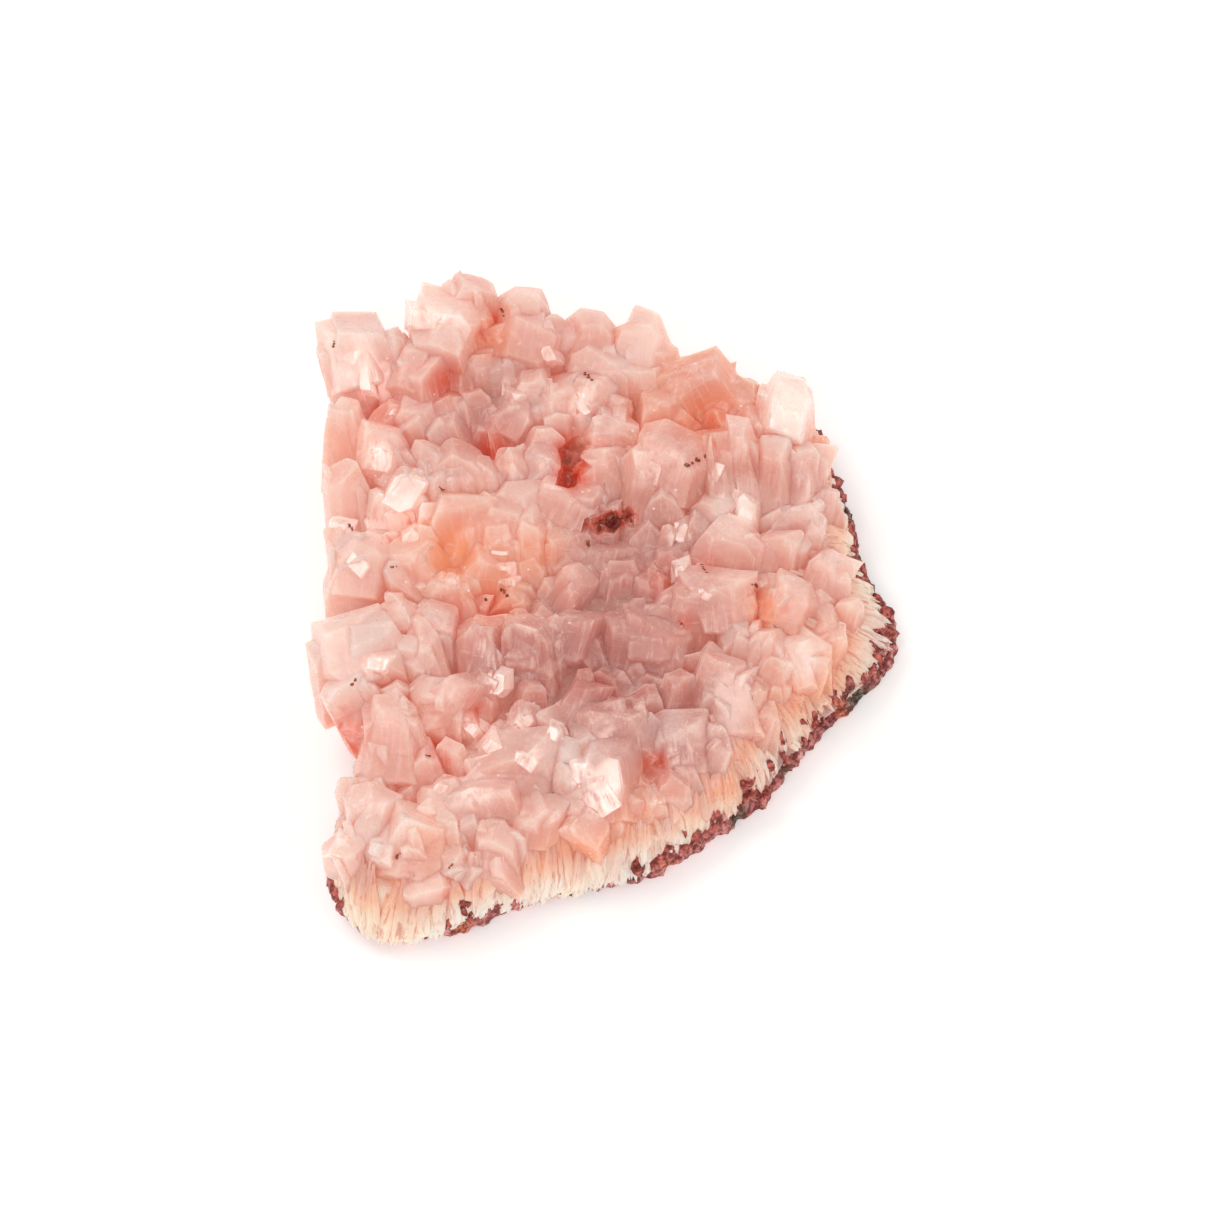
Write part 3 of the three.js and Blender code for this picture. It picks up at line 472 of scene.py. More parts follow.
def pitBlocks(solids):
    # Blocks to cut away at the deepest hollows, so that each can be looked into.
    rng = random.Random(fillers["seed"] + 1)
    tree = treeOf(solids)
    made = []
    for across, up, radius, depth in hollows:
        start = placed(across, up, sky)
        hit = tree.ray_cast(Vector(start), Vector(away))[3]
        if depth < 2.2 or hit is None:
            continue
        surface = min(hit, sky / leanSin - 7.0)
        for _ in range(3):
            aside = np.array([rng.uniform(-0.5, 0.5), rng.uniform(-0.5, 0.5), 0.0]) * radius
            top = start + aside + away * (surface - 3.0)
            heading = away + np.array([rng.gauss(0, 0.16) for _ in range(3)])
            bottom = top + unit(heading) * (3.0 + 0.8 * depth * rng.uniform(0.6, 1.0))
            bottom[2] = max(bottom[2], 4.6)
            ways = crystalFrame(top, bottom + np.array([0.01, 0.0, 0.0]), rng.uniform(-1, 1))
            wide = radius * rng.uniform(0.8, 1.5)
            block = cutBlock(wide, wide * rng.uniform(0.6, 1.1), np.linalg.norm(bottom - top), 0.45, rng)
            made.append(standing(block, top, *ways, 0.0))
    return made


def skyline(solids, grid):
    # The height of the highest surface over each place of the grid.
    tree = treeOf(solids)
    heights = np.full(grid.shape[:2], plate["crustHeight"])
    for i, j in np.ndindex(heights.shape):
        hit = tree.ray_cast(Vector((*grid[i, j], sky)), Vector((0, 0, -1)))[0]
        if hit:
            heights[i, j] = max(heights[i, j], hit.z)
    return heights


def spreadHighest(heights, reach, rounds):
    # Each cell takes the highest of the cells round it, smoothed.
    spread = heights.copy()
    for i, j in itertools.product(range(-reach, reach + 1), repeat=2):
        if i * i + j * j <= reach * reach:
            spread = np.maximum(spread, np.roll(heights, (i, j), axis=(0, 1)))
    for _ in range(rounds):
        spread = (spread + np.roll(spread, 1, 0) + np.roll(spread, -1, 0) + np.roll(spread, 1, 1)
                  + np.roll(spread, -1, 1)) / 5
    return spread


def hollowDepth(points):
    # How much deeper than elsewhere the skin lies at each point: the hollows.
    places = seenFrom(points)
    total = np.zeros(len(points))
    for across, up, radius, depth in hollows:
        distance = np.hypot(places[:, 0] - across, places[:, 1] - up)
        total = np.maximum(total, depth * step(1.5 * radius, 0.7 * radius, distance))
    return total


def fillerCrystals(solids, rim):
    rng = random.Random(fillers["seed"])
    lines = [start + fillers["cell"] * np.arange(count)
             for start, count in zip(fillers["corner"], fillers["cells"])]
    grid = np.stack(np.meshgrid(*lines, indexing="ij"), axis=-1)
    reach = round(fillers["reach"] / fillers["cell"])
    made = []
    for widths, under, closeness, most in fillers["rounds"]:
        heights = skyline(solids + made, grid)
        tips = spreadHighest(heights, reach, reach)
        heights, tips = heights.reshape(-1), tips.reshape(-1)
        surface = np.column_stack([grid.reshape(-1, 2), tips])
        room = insideRim(rim, surface)
        ceiling = plate["crustHeight"] + 1.5 + 1.6 * np.maximum(room, 0)
        wanted = np.minimum(tips - hollowDepth(surface), ceiling)
        spare = (wanted - heights > under[0] + 0.5) & (room > 0.2 + 0.4 * widths[0])
        spare = np.flatnonzero(spare).tolist()
        rng.shuffle(spare)
        kept = []
        for k in spare:
            if len(kept) >= most:
                break
            width = rng.uniform(*widths)
            x, y = surface[k, :2] + np.array([rng.uniform(-0.3, 0.3), rng.uniform(-0.3, 0.3)])
            if any((x - a) ** 2 + (y - b) ** 2 < (closeness * (width + w)) ** 2 for a, b, w in kept):
                continue
            kept.append((x, y, width))
            top = min(wanted[k] - rng.uniform(*under), heights[k] + 4.5 * width)
            outward = (np.array([x, y]) - plateMiddle) / 32
            field = Vector((x / 9, y / 9, 3.0))
            tilt = outward * rng.uniform(0.0, 0.35) + np.array([rng.gauss(0, 0.25) + 0.7 * noise.noise(field),
                                                                rng.gauss(0.45, 0.2)])
            tip = np.array([x, y, top])
            foot = tucked(tip - np.array([*tilt, 1.0]) * min(top - 4.4, 3.2 * width + 2.0), width, rim)
            turn = 1.6 * noise.noise(field + Vector((0, 0, 5))) + rng.gauss(0, 0.35)
            solid = cutBlock(width, width * rng.uniform(0.55, 1.1), np.linalg.norm(tip - foot),
                             rng.uniform(0.45, 1.0), rng, worn=0.35)
            made.append(standing(solid, foot, *crystalFrame(foot, tip, turn), rng.uniform(-1, 1)))
    return made


# Cleavage facets: flat pearly faces that catch the light, as (across, up, width, height, turn in degrees,
# pearly lustre and painted glint).
facets = {
    "places": [
        (-25.4, 25.6, 0.8, 2.8, 4, 0.9), (-24.6, 23.8, 1, 4.4, 0, 1), (-23.9, 22.4, 0.6, 2.2, -3, 0.8),
        (-18.3, 29, 3.6, 2, 4, 0.7), (-21.6, 19.6, 0.9, 1.2, 10, 1), (-22.8, 14.9, 1.4, 2.6, -4, 1),
        (-2.6, 20.8, 1.6, 3.2, -36, 0.9), (-20.4, 11.4, 3.4, 4.4, 30, 0.7), (-22.6, 8.4, 3.4, 3, 24, 0.6),
        (-19.6, 6.6, 1.8, 2, 6, 0.7), (-26.9, 8.1, 1.8, 0.6, -4, 0.9), (-22.6, -5.6, 2.2, 1.4, 8, 0.8),
        (-10.8, -7.6, 1.6, 2.4, 4, 0.8), (-13.5, -11.8, 1.8, 1.2, 20, 0.8),
        (-8.1, -11.4, 1.7, 1.3, -35, 0.9), (-5.4, -12.4, 1.3, 1.4, 5, 0.9), (-11, -14, 2.6, 1.6, 18, 0.8),
        (-8, -15, 2.4, 1.5, 24, 0.9), (-0.3, -18.4, 2.2, 4.2, -30, 1), (-2.7, -16.2, 1.5, 2.2, -12, 1),
        (-0.1, -12.9, 0.7, 1.5, -14, 0.9), (12.7, 11.1, 2.4, 1.8, 4, 0.8), (13.9, 9.1, 1.7, 2, -3, 1),
        (11, 13.4, 1, 2.4, 0, 0.7), (7.3, 7.3, 1, 2.6, -24, 1), (7.2, 3.6, 1, 0.9, -24, 1),
        (-10.9, 3.9, 3, 0.5, 2, 0.6), (-10.6, 2.6, 3.2, 0.45, -2, 0.7), (-10.8, 5.4, 1.8, 0.5, 0, 0.5),
        (-24.8, 4.2, 2.4, 1.6, 30, 0.6), (-5.6, 11.9, 2, 0.8, 4, 0.6), (-16.4, -18.1, 1.4, 2, 8, 0.6),
        (-26, -23.4, 1.4, 2.2, 6, 0.4), (4.6, 13.4, 1.6, 2.6, 3, 0.3), (-6, 25.6, 1.4, 1.8, -20, 0.4),
        (9.6, 1.2, 1.4, 1, 12, 0.4), (12.8, -7.6, 1.6, 2, -12, 0.3),
    ],
    # the broad plain fronts of the largest crystals, in the same way
    "broad": [
        (-25.4, 25.2, 5.6, 7, 0, 0.1), (-19.9, 24.3, 3.2, 5.6, 0, 0), (-15.1, 22.1, 3.6, 6.6, -18, 0.1),
        (-16.4, 28.7, 6.4, 3.6, 20, 0.2), (-8, 27, 6.4, 5, -6, 0), (-1.8, 26.4, 5.4, 6.4, 4, 0),
        (3.2, 26.4, 4.2, 6.8, -6, 0.1), (9.4, 20.8, 7.4, 5.6, -24, 0), (18, 20.2, 4.8, 6.4, 14, 0.3),
        (-22.7, 15.9, 4.2, 5.4, 4, 0.1), (-9.4, 18.8, 3.4, 4.4, 20, 0), (5.4, 13.6, 7.8, 6.2, 0, 0.1),
        (11.2, 13.4, 2.8, 9.2, 0, 0.1), (13.6, 13.8, 2.6, 9.4, -3, 0.2), (16.6, 12.2, 3.6, 8.6, 2, 0),
        (19.8, 12.4, 3, 8.2, 4, 0.1), (-4.6, 9.8, 7.8, 3.6, -6, 0.1), (-15.4, 6.2, 4.8, 7, 2, 0),
        (-10.9, 5.6, 3.4, 6.8, 0, 0), (-24.2, 3.4, 6, 6, 6, 0), (-25, -4.4, 6.4, 7.4, 0, 0.05),
        (-17.3, -4.4, 2.6, 9, 4, 0), (-21.4, -13.6, 5.2, 8.6, -6, 0), (-16.6, -9.4, 3.8, 7.2, 4, 0),
        (-12.9, -4.6, 4.4, 6.6, 0, 0.1), (-8.1, -3.9, 4.2, 5, 4, 0.1), (-3.8, -3.1, 4.6, 5.2, -6, 0),
        (4.6, -3.5, 6.2, 4.6, 4, 0), (11.4, 0, 6, 6.2, 0, 0.1), (18, 0, 4.4, 5.2, 10, 0),
        (21.2, 2.8, 3.4, 5.4, 0, 0), (12.3, -9.4, 5, 7.6, -14, 0.2), (19, -5.6, 3, 6, -8, 0.1),
        (-3, -9.8, 3.4, 5.4, 4, 0), (7.4, -14.2, 4.8, 6, -12, 0.1), (-8.6, -16.6, 8.4, 5, -14, 0),
        (-0.2, -17.4, 6.2, 8.6, -6, 0), (-6.9, -21.9, 4.2, 4.8, 0, 0), (-18.8, -23.6, 6.4, 7, 6, 0),
        (-23, -20.8, 2.8, 5.4, 0, 0), (-11.6, -24, 3.6, 6, 4, 0), (-1, 4.2, 4.4, 4.4, 10, 0),
    ],
    "swing": {True: 0.13, False: 0.05},  # how much a broad front and a small facet turn
    "proud": {True: 0.25, False: 0.1},  # and how proud they stand
    "facing": (-0.1, -0.55, 0.83),
    "wear": 0.16,  # how far the edges of a broad front are blunted
    "size": 0.85,
    "seed": 23,
}


def facetBlocks(solids):
    # A block at each place, set into whatever crystal lies there, with its flat front showing. The small
    # ones are set into the broad ones.
    rng = random.Random(facets["seed"])
    made = []
    for broad in (True, False):
        tree = treeOf(solids + made)
        for across, up, width, height, turn, lustreAndPaintedGlint in facets["broad" if broad else "places"]:
            width, height = width * facets["size"], height * facets["size"]
            start = Vector(placed(across, up, sky))
            hits = [tree.ray_cast(start + Vector((dx * width, dy * height, 0)), Vector(away))[3]
                    for dx, dy in ((0, 0), (0.3, 0), (-0.3, 0), (0, 0.3), (0, -0.3))]
            hits = sorted(hit for hit in hits if hit is not None)
            if not hits:
                continue
            facing = np.array([rng.gauss(0, facets["swing"][broad]) for _ in range(3)])
            facing = unit(np.array(facets["facing"]) + facing)
            side = unit(np.cross(facing, (0.0, 0.0, 1.0)))
            side, upward = spun(side, np.cross(side, facing), math.radians(turn))
            block = cutPlate(width, height, broad, rng)
            if isClosed(block[1]):
                block = blunted(*block, facets["wear"]) if broad else block
                centre = np.array(start + Vector(away) * hits[len(hits) // 2])
                made.append(standing(block, centre, side, facing, upward, 2.0 + lustreAndPaintedGlint))
    return made


def cutPlate(width, height, broad, rng):
    # A plate with a flat front, sides that spread backwards and its corners cut off. A broad one has bevels.
    draw, sign = rng.uniform, lambda: rng.choice((-1, 1))
    flats = [((0, 1, 0), facets["proud"][broad]), ((0, -1, 0), 2.2 + 0.3 * width)]
    for side in (-1, 1):
        flats.append(((side, 0.25, draw(-0.3, 0.3)), 0.5 * width))
        flats.append(((draw(-0.15, 0.15), 0.25, side), 0.5 * height))
    for _ in range(2):
        flats.append(((sign() * height, 0.3 * width, sign() * width), draw(0.68, 0.85) * width * height))
    if broad:
        flats.append(((draw(-0.4, 0.4), draw(0.5, 1.3), 1), draw(0.38, 0.46) * height))
        flats.append(((sign(), draw(0.4, 1.2), draw(-0.2, 0.2)), draw(0.3, 0.42) * width))
    return convexSolid([(unit(np.array(way)), reach / np.linalg.norm(way)) for way, reach in flats])


# Places where broken patches of the crystals' own faces get a painted glint, as (across, up, half width,
# half height, turn in degrees, strength).
glints = [
    (-24.8, 24.4, 1.7, 3.4, 8, 1), (-22.6, 22.8, 0.7, 2, 0, 0.8), (-18.2, 29, 2.2, 1.2, 8, 0.9),
    (-15.4, 29.4, 1.6, 0.8, -10, 0.6), (-22.8, 14.8, 1.3, 1.7, 0, 1), (-20.6, 10.4, 2.2, 2.6, 30, 0.9),
    (-22.4, 7.8, 2.2, 1.6, 20, 0.8), (-2.6, 20.8, 0.9, 2, -36, 0.9), (-9.6, 22, 1.4, 1.2, 20, 0.6),
    (5, 13.8, 3.4, 2.2, 0, 0.35), (12.8, 10.4, 1.4, 1.4, 0, 1), (13.8, 8.8, 1, 1.4, 0, 1),
    (16.4, 19.4, 1.4, 2.4, 8, 0.8), (20, 19.6, 1.2, 2.4, -8, 0.9), (18.2, 22.6, 2.2, 0.7, -4, 0.9),
    (-22.6, -5.6, 1.5, 1, 8, 0.8), (-26.4, -2, 1.8, 1.2, 20, 0.5), (-11.6, -4.6, 1.6, 1.6, 0, 0.5),
    (-7.4, -1.6, 1.6, 1, 0, 0.5), (-10.8, -7.6, 1.1, 1.5, 4, 0.9), (-13.4, -11.8, 1.3, 0.9, 20, 0.9),
    (-8.1, -11.6, 1.3, 0.9, -35, 0.9), (-11.2, -13.8, 2, 0.9, 16, 0.8), (-7.6, -14.6, 1.4, 0.8, 20, 0.6),
    (-0.2, -17.6, 1.6, 3.2, -28, 1), (-2.4, -16.4, 0.9, 1.4, -10, 1), (0, -12.9, 0.5, 1, -14, 0.9),
    (7.2, -14.2, 1.2, 1.6, -20, 0.5), (7.4, 7.4, 0.8, 1.5, -24, 1), (7.2, 3.8, 0.8, 0.7, -24, 1),
    (12.6, -9, 1.8, 2.6, 0, 0.5), (19.6, -5.4, 1.2, 2.2, -8, 0.6), (10.2, 2.6, 1.8, 1, 0, 0.4),
    (-19.6, -19.4, 2.4, 1.4, 10, 0.5), (-23.6, -19, 1.2, 1, 0, 0.5), (-13, -18.8, 1.6, 1.2, 0, 0.5),
    (-4.6, -20.8, 1.2, 1.2, 0, 0.5), (20.6, 11.4, 0.8, 2, 4, 0.4), (-6.4, 15.4, 0.8, 1.6, 0, 0.5),
    (-9.4, 15, 0.7, 1.6, 0, 0.5),
]


def glintStrength(places, normals):
    # How much painted glint each point gets: only faces turned half way between viewer and light get it.
    turned = step(0.72, 0.9, normals @ unit(np.array(facets["facing"])))
    total = np.zeros(len(places))
    for across, up, wide, high, turn, strength in glints:
        along, over = spun(*(places - (across, up)).T, math.radians(turn))
        total = np.maximum(total, strength * step(1.25, 0.8, np.hypot(along / wide, over / high)))
    return total * turned


# The mass of columns that the crystals rise from.
crustShape = {
    "count": 300,
    "seed": 4.0,
    "wallRings": 7,
    "topShares": (0.97, 0.94, 0.9, 0.86, 0.8, 0.72, 0.64, 0.56, 0.48, 0.4, 0.32, 0.24, 0.16, 0.08),
    "parting": 0.3,  # how far it stays over the rock
    "unevenness": (0.5, 2.6),
}


def crustSkin():
    rim = rimRing(crustShape["count"])
    ledge, lean, parting = plate["rindLedge"], np.maximum(rim[:, 2], 0), crustShape["parting"]
    high, size = crustShape["unevenness"]
    rings = [ringAt(rim, 0.86, 0.0, lambda ring: partingHeight(ring, False) + parting)]
    for share in np.linspace(0, 1, crustShape["wallRings"]):
        rings.append(ringAt(rim, 1.0, -ledge - share * lean - 0.3 * share, lambda ring: (
            (partingHeight(ring, True) + parting) * (1 - share) + plate["wallHeight"] * share)))
    for share in crustShape["topShares"]:
        rings.append(ringAt(rim, share, -(ledge + lean) * share, lambda ring: (
            plate["crustHeight"] + high * smoothNoise(ring, size, crustShape["seed"]))))
    lowest = partingHeight(plateMiddle[None], False)[0] + parting
    return skin(rings, [*plateMiddle, lowest], [*plateMiddle, plate["crustHeight"]])


# Fibres: tufts of fine blades down the broken wall, ending in teeth on the rock.
fibreShape = {
    # tufts, blades in each, their width, where on the wall they start and end, how proud they stand
    "tiers": [(170, (6, 9), (0.45, 1.3), (0.5, 1.1), (-0.04, 0.26), 0.1),
              (100, (4, 7), (0.8, 2.0), (0.95, 1.5), (0.1, 0.62), 0.3)],
    "hang": 0.8,  # how far the fibres follow the crystals' fall rather than the wall's
    # where they hide the rock: x, y, radius, and how much lower they end
    "covering": [(-4.0, -34.4, 7.0, 0.5), (-21.0, -38.6, 6.0, 0.5)],
    "ringCount": 900,
    "unevenness": (0.1, 2.0, 0.04, 0.7),
    "longestEdge": 1.4,
    "sharpAngle": math.radians(60),
    "seed": 31,
}


def spindle(start, end, width, depth, facing, tone):
    # A blade with five sides: narrow where it starts, widest low down, pointed at its end.
    axis = unit(end - start)
    across = unit(np.cross(axis, facing))
    length = np.linalg.norm(end - start)
    corners = []
    for along, share in ((0.0, 0.3), (0.35, 0.75), (0.7, 1.0), (0.88, 0.7), (1.0, 0.06)):
        for k in range(5):
            angle = 2 * math.pi * (k + 0.25) / 5
            corners.append((share * width / 2 * math.cos(angle), share * depth / 2 * math.sin(angle),
                            along * length))
    faces = [tuple(range(4, -1, -1)), tuple(range(20, 25))]
    for k in range(0, 20, 5):
        faces += [(k + i, k + (i + 1) % 5, k + 5 + (i + 1) % 5, k + 5 + i) for i in range(5)]
    return standing((np.array(corners), faces), start, across, np.cross(across, axis), axis, tone)


def wallPlace(rim, k, share, proud):
    # A point on the broken wall, share 0 at its foot and 1 at its top, and the way out of the wall there.
    centre = rim[k, :2] + shift
    out = unit(centre - plateMiddle)
    inward = max(0.1, plate["rindLedge"] + 0.1 + share * max(rim[k, 2], 0) - proud)
    foot = plate["rindThickness"] + 0.9
    height = foot + share * (plate["wallHeight"] + 0.3 - foot)
    return np.array([*(centre - out * inward), height]), np.array([*out, 0.5])


def fallAlong(rim, k):
    # How far round the rim a fibre moves on its way down the wall, so that it falls towards the viewer.
    out = unit(rim[k, :2] - rimMiddle)
    share = fibreShape["hang"] * max(0.0, -out[1])
    fall = (1 - share) * out + share * np.array([0.0, -1.0])
    sideways = (fall[0] * -out[1] + fall[1] * out[0]) / max(0.3, fall @ out)
    return max(rim[k, 2], 0.0) * np.clip(sideways, -1.2, 1.2)


def coveringAt(place):
    return max(most * math.exp(-((place[0] - x) ** 2 + (place[1] - y) ** 2) / radius**2)
               for x, y, radius, most in fibreShape["covering"])


def fibreBlades():
    rng = random.Random(fibreShape["seed"])
    rim = rimRing(fibreShape["ringCount"])
    spacing = np.linalg.norm(rim[1, :2] - rim[0, :2])
    made = []
    for tufts, blades, widths, high, lowEnd, proud in fibreShape["tiers"]:
        for tuft in range(tufts):
            home = (tuft + rng.uniform(-0.4, 0.4)) / tufts * len(rim)
            lower = coveringAt(rim[int(home) % len(rim)])
            tone, drift, top = rng.uniform(-1, 1), rng.uniform(-1.2, 1.2), rng.uniform(*high)
            for _ in range(rng.randint(*blades)):
                aside = rng.uniform(-1, 1)
                upper = int(home + (0.55 * aside + drift) / spacing) % len(rim)
                run = fallAlong(rim, upper) * (top - sum(lowEnd) / 2)
                foot = int(home + (1.35 * aside + run) / spacing) % len(rim)
                stand = proud + rng.uniform(-0.12, 0.16)
                start = wallPlace(rim, upper, top * rng.uniform(0.8, 1.05), stand - 0.25)[0]
                end, outward = wallPlace(rim, foot, rng.uniform(*lowEnd) - lower, stand)
                width = rng.uniform(*widths)
                made.append(spindle(start, end, width, rng.uniform(0.8, 1.2) * width, outward,
                                    tone + rng.uniform(-0.4, 0.4)))
    return made


# The crystals as one closed mesh.
def ownedMesh(name, solid, owner, collection=None):
    # A mesh whose faces remember which solid they came from.
    mesh = bpy.data.meshes.new(name)
    mesh.from_pydata((np.asarray(solid[0]) * millimetre).tolist(), [], solid[1])
    mesh.attributes.new("owner", "INT", "FACE").data.foreach_set("value", [owner] * len(solid[1]))
    return putInScene(name, mesh, collection)


def joinSolids(name, base, solids):
    # One closed skin from a base and the solids that overlap it. The base's faces are owned by solid 0.
    whole = ownedMesh(name, base, 0)
    combine(whole, solids, "UNION", range(1, len(solids) + 1))
    return whole


def combine(whole, solids, operation, owners):
    pieces = bpy.data.collections.new(whole.name + "Pieces")
    bpy.context.scene.collection.children.link(pieces)
    for owner, solid in zip(owners, solids):
        ownedMesh(whole.name + "Part", solid, owner, pieces)
    join = whole.modifiers.new("join", "BOOLEAN")
    join.operation = operation
    join.operand_type = "COLLECTION"
    join.collection = pieces
    join.solver = "MANIFOLD"
    joined = bpy.data.meshes.new_from_object(whole.evaluated_get(bpy.context.evaluated_depsgraph_get()))
    whole.modifiers.clear()
    joined.materials.clear()
    whole.data = joined
    for piece in list(pieces.objects):
        bpy.data.meshes.remove(piece.data)
    bpy.data.collections.remove(pieces)


def keepLargestSkin(bm):
    # Sealed pockets between crystals are separate skins inside the mass, and go.
    unseen = set(bm.verts)
    largest = set()
    while unseen:
        stack = [unseen.pop()]
        island = set(stack)
        while stack:
            near = {vertex for edge in stack.pop().link_edges for vertex in edge.verts} & unseen
            unseen -= near
            island |= near
            stack += near
        largest = max(largest, island, key=len)
    bmesh.ops.delete(bm, geom=[vertex for vertex in bm.verts if vertex not in largest], context="VERTS")


def dropFlaps(bm):
    # Two faces back to back on the same corners hold nothing between them, and go.
    bm.verts.index_update()
    alike = {}
    for face in bm.faces:
        alike.setdefault(frozenset(vertex.index for vertex in face.verts), []).append(face)
    flaps = [face for faces in alike.values() for face in faces[: len(faces) // 2 * 2]]
    bmesh.ops.delete(bm, geom=flaps, context="FACES")


def refine(thing, longest, rounds, oneSkin=True, shortest=0.0):
    # Triangles with no edge much longer than the longest, or shorter than the shortest.
    bm = bmesh.new()
    bm.from_mesh(thing.data)
    if oneSkin:
        keepLargestSkin(bm)
    bmesh.ops.dissolve_degenerate(bm, dist=1e-6, edges=bm.edges[:])
    bmesh.ops.triangulate(bm, faces=bm.faces[:])
    if shortest:
        bmesh.ops.dissolve_degenerate(bm, dist=shortest * millimetre, edges=bm.edges[:])
        bmesh.ops.triangulate(bm, faces=bm.faces[:])
        dropFlaps(bm)
    for _ in range(rounds):
        long = [edge for edge in bm.edges if edge.calc_length() > longest * millimetre]
        bmesh.ops.subdivide_edges(bm, edges=long, cuts=1)
        bmesh.ops.triangulate(bm, faces=[face for face in bm.faces if len(face.verts) > 3])
    bm.to_mesh(thing.data)
    bm.free()


# What each point of a skin is like: kept on the mesh for the material to read. Patches of colour are
# (across, up, radius, strength), on the plane that faces the viewer.
colourPatches = {
    "warm": [(-15.6, 6.4, 4.6, 1.3), (-7.1, 6.1, 3, 0.8), (9.4, 21.6, 6.5, 1), (-12.1, 27.9, 2.2, 0.9),
             (1, 28.1, 1.6, 0.6), (21.9, 18.6, 2.2, 0.7), (-26.1, 15.5, 2.6, 0.4), (-17.1, -21.9, 3.2, 0.6),
             (-2.6, -24, 3.4, 0.9), (4.4, -20.4, 4, 0.6), (22.8, -6.6, 5, 0.8), (15.7, 0.1, 2, 1),
             (-10.8, 1.2, 3, 0.7), (-19.6, 8.6, 1.6, 0.7), (-21, -27.8, 3, 0.4), (16, -10, 4, 0.4)],
    # the coral patches lie on the hollows and crevices: painted shade
    "coral": [(-16.9, 23, 2.2, 1), (-3.4, 15, 2, 1.5), (-3.4, 12.6, 1.8, 1.4), (11.4, 18.6, 3, 0.4),
              (-15.9, -1.4, 1.4, 0.9), (-11.8, 16.6, 2, 0.8), (-26, -13, 2.4, 1), (-22.8, 19.8, 1.8, 0.7),
              (-11.6, 0, 1.6, 0.9), (5, 2.9, 2, 0.5), (-15.4, -28.2, 1.2, 1), (7.8, -1.6, 1, 0.8),
              (4.8, -15.6, 1.4, 0.7), (10, 4, 1.2, 0.8), (-16.6, -14.8, 2, 0.6), (-13.2, -10.2, 1.6, 0.5)],
    "rose": [(-12.6, 18.6, 5, 0.85), (1.9, -8.4, 9.5, 0.9), (0, -14, 8, 0.3), (10.6, -11, 6, 0.35),
             (-9, -4.6, 6, 0.35), (-8, 27, 5, 0.15), (3.4, 4.6, 7, 0.8), (-3.6, -3.4, 6, 0.5),
             (7.9, 11.6, 6, 0.3), (-1.2, 8.2, 2.6, 1), (20, 11, 6, 0.35), (9.6, 20.6, 6, 0.6),
             (-12.6, -4.8, 3.4, 0.6), (12, -9.4, 3.6, 0.5), (7.4, -14.2, 3.4, 0.4), (2, 26, 5, 0.25)],
    "pale": [(-25.6, -5, 6, 0.35), (-21, -23, 6, 0.25), (18.2, 20, 3.4, 1.3), (12.9, 10.1, 2.4, 0.6),
             (12.1, -9.4, 2.4, 0.4), (-26.6, 24.6, 3.4, 0.8), (3.2, 26.3, 3, 0.6), (19.7, -5.6, 2.2, 0.7),
             (-3.1, -14.9, 3.4, 0.5), (-20, 9.4, 3, 0.5), (-16, 28, 3.4, 0.4), (6, -12, 2.4, 0.5),
             (20.4, 12, 3.4, 0.1), (-21, -22, 3.4, 0.3)],
}


def patchStrengths(places, table):
    # How strongly each named patch of the table colours each place.
    found = {}
    for name, patches in table.items():
        found[name] = np.zeros(len(places))
        for across, up, radius, strength in patches:
            distance2 = (places[:, 0] - across) ** 2 + (places[:, 1] - up) ** 2
            found[name] += strength * np.exp(-distance2 / radius**2)
        found[name] = np.clip(found[name], 0, 1.5)
    return found


def readArray(items, field, width=1, kind=float):
    values = np.empty(len(items) * width, dtype=kind)
    items.foreach_get(field, values)
    return values.reshape(-1, width) if width > 1 else values


def meshArrays(mesh):
    normals = readArray(mesh.vertex_normals, "vector", 3)
    normals[np.linalg.norm(normals, axis=1) < 0.5] = (0.0, 0.0, 1.0)
    return readArray(mesh.vertices, "co", 3), normals


def movePoints(mesh, points):
    # Sets the points, in millimetres, kept inside the box of the solids.
    low = np.array(cadBounds[0]) / millimetre + 0.02
    high = np.array(cadBounds[1]) / millimetre - 0.02
    low[2] = 0.0
    mesh.vertices.foreach_set("co", (np.clip(points, low, high) * millimetre).ravel())
    mesh.update()


def openness(thing, reach, count=12):
    # How much of the half space over each point is clear: 1 on a tip, 0 in a pit.
    points, normals = meshArrays(thing.data)
    tree = BVHTree.FromObject(thing, bpy.context.evaluated_depsgraph_get())
    k = np.arange(count) + 0.5
    turn, height = k * math.pi * (3 - math.sqrt(5)), k / count
    flat = np.sqrt(1 - height**2)
    ways = np.column_stack([flat * np.cos(turn), flat * np.sin(turn), height])
    helper = np.where(np.abs(normals[:, :1]) < 0.8, [[1.0, 0.0, 0.0]], [[0.0, 1.0, 0.0]])
    side = np.cross(normals, helper)
    side /= np.linalg.norm(side, axis=1, keepdims=True)
    total = np.zeros(len(points))
    for number, (origin, a, b, up) in enumerate(zip(points, side, np.cross(normals, side), normals)):
        start = Vector(origin + up * 2e-5)
        clear = 0.0
        for ray in ways[:, :1] * a + ways[:, 1:2] * b + ways[:, 2:] * up:
            distance = tree.ray_cast(start, Vector(ray), reach)[3]
            clear += 1.0 if distance is None else distance / reach
        total[number] = clear / count
    return total


def edgeSharpness(mesh):
    # Above 0 on ridges and corners, below 0 in creases, in millimetres.
    points, normals = meshArrays(mesh)
    first, second = readArray(mesh.edges, "vertices", 2, int).T
    along = points[second] - points[first]
    along = along / (np.linalg.norm(along, axis=1, keepdims=True) + 1e-9)
    total = np.zeros(len(points))
    counts = np.zeros(len(points))
    np.add.at(total, first, -np.einsum("ij,ij->i", along, normals[first]))
    np.add.at(total, second, np.einsum("ij,ij->i", along, normals[second]))
    np.add.at(counts, first, 1)
    np.add.at(counts, second, 1)
    return total / np.maximum(counts, 1)


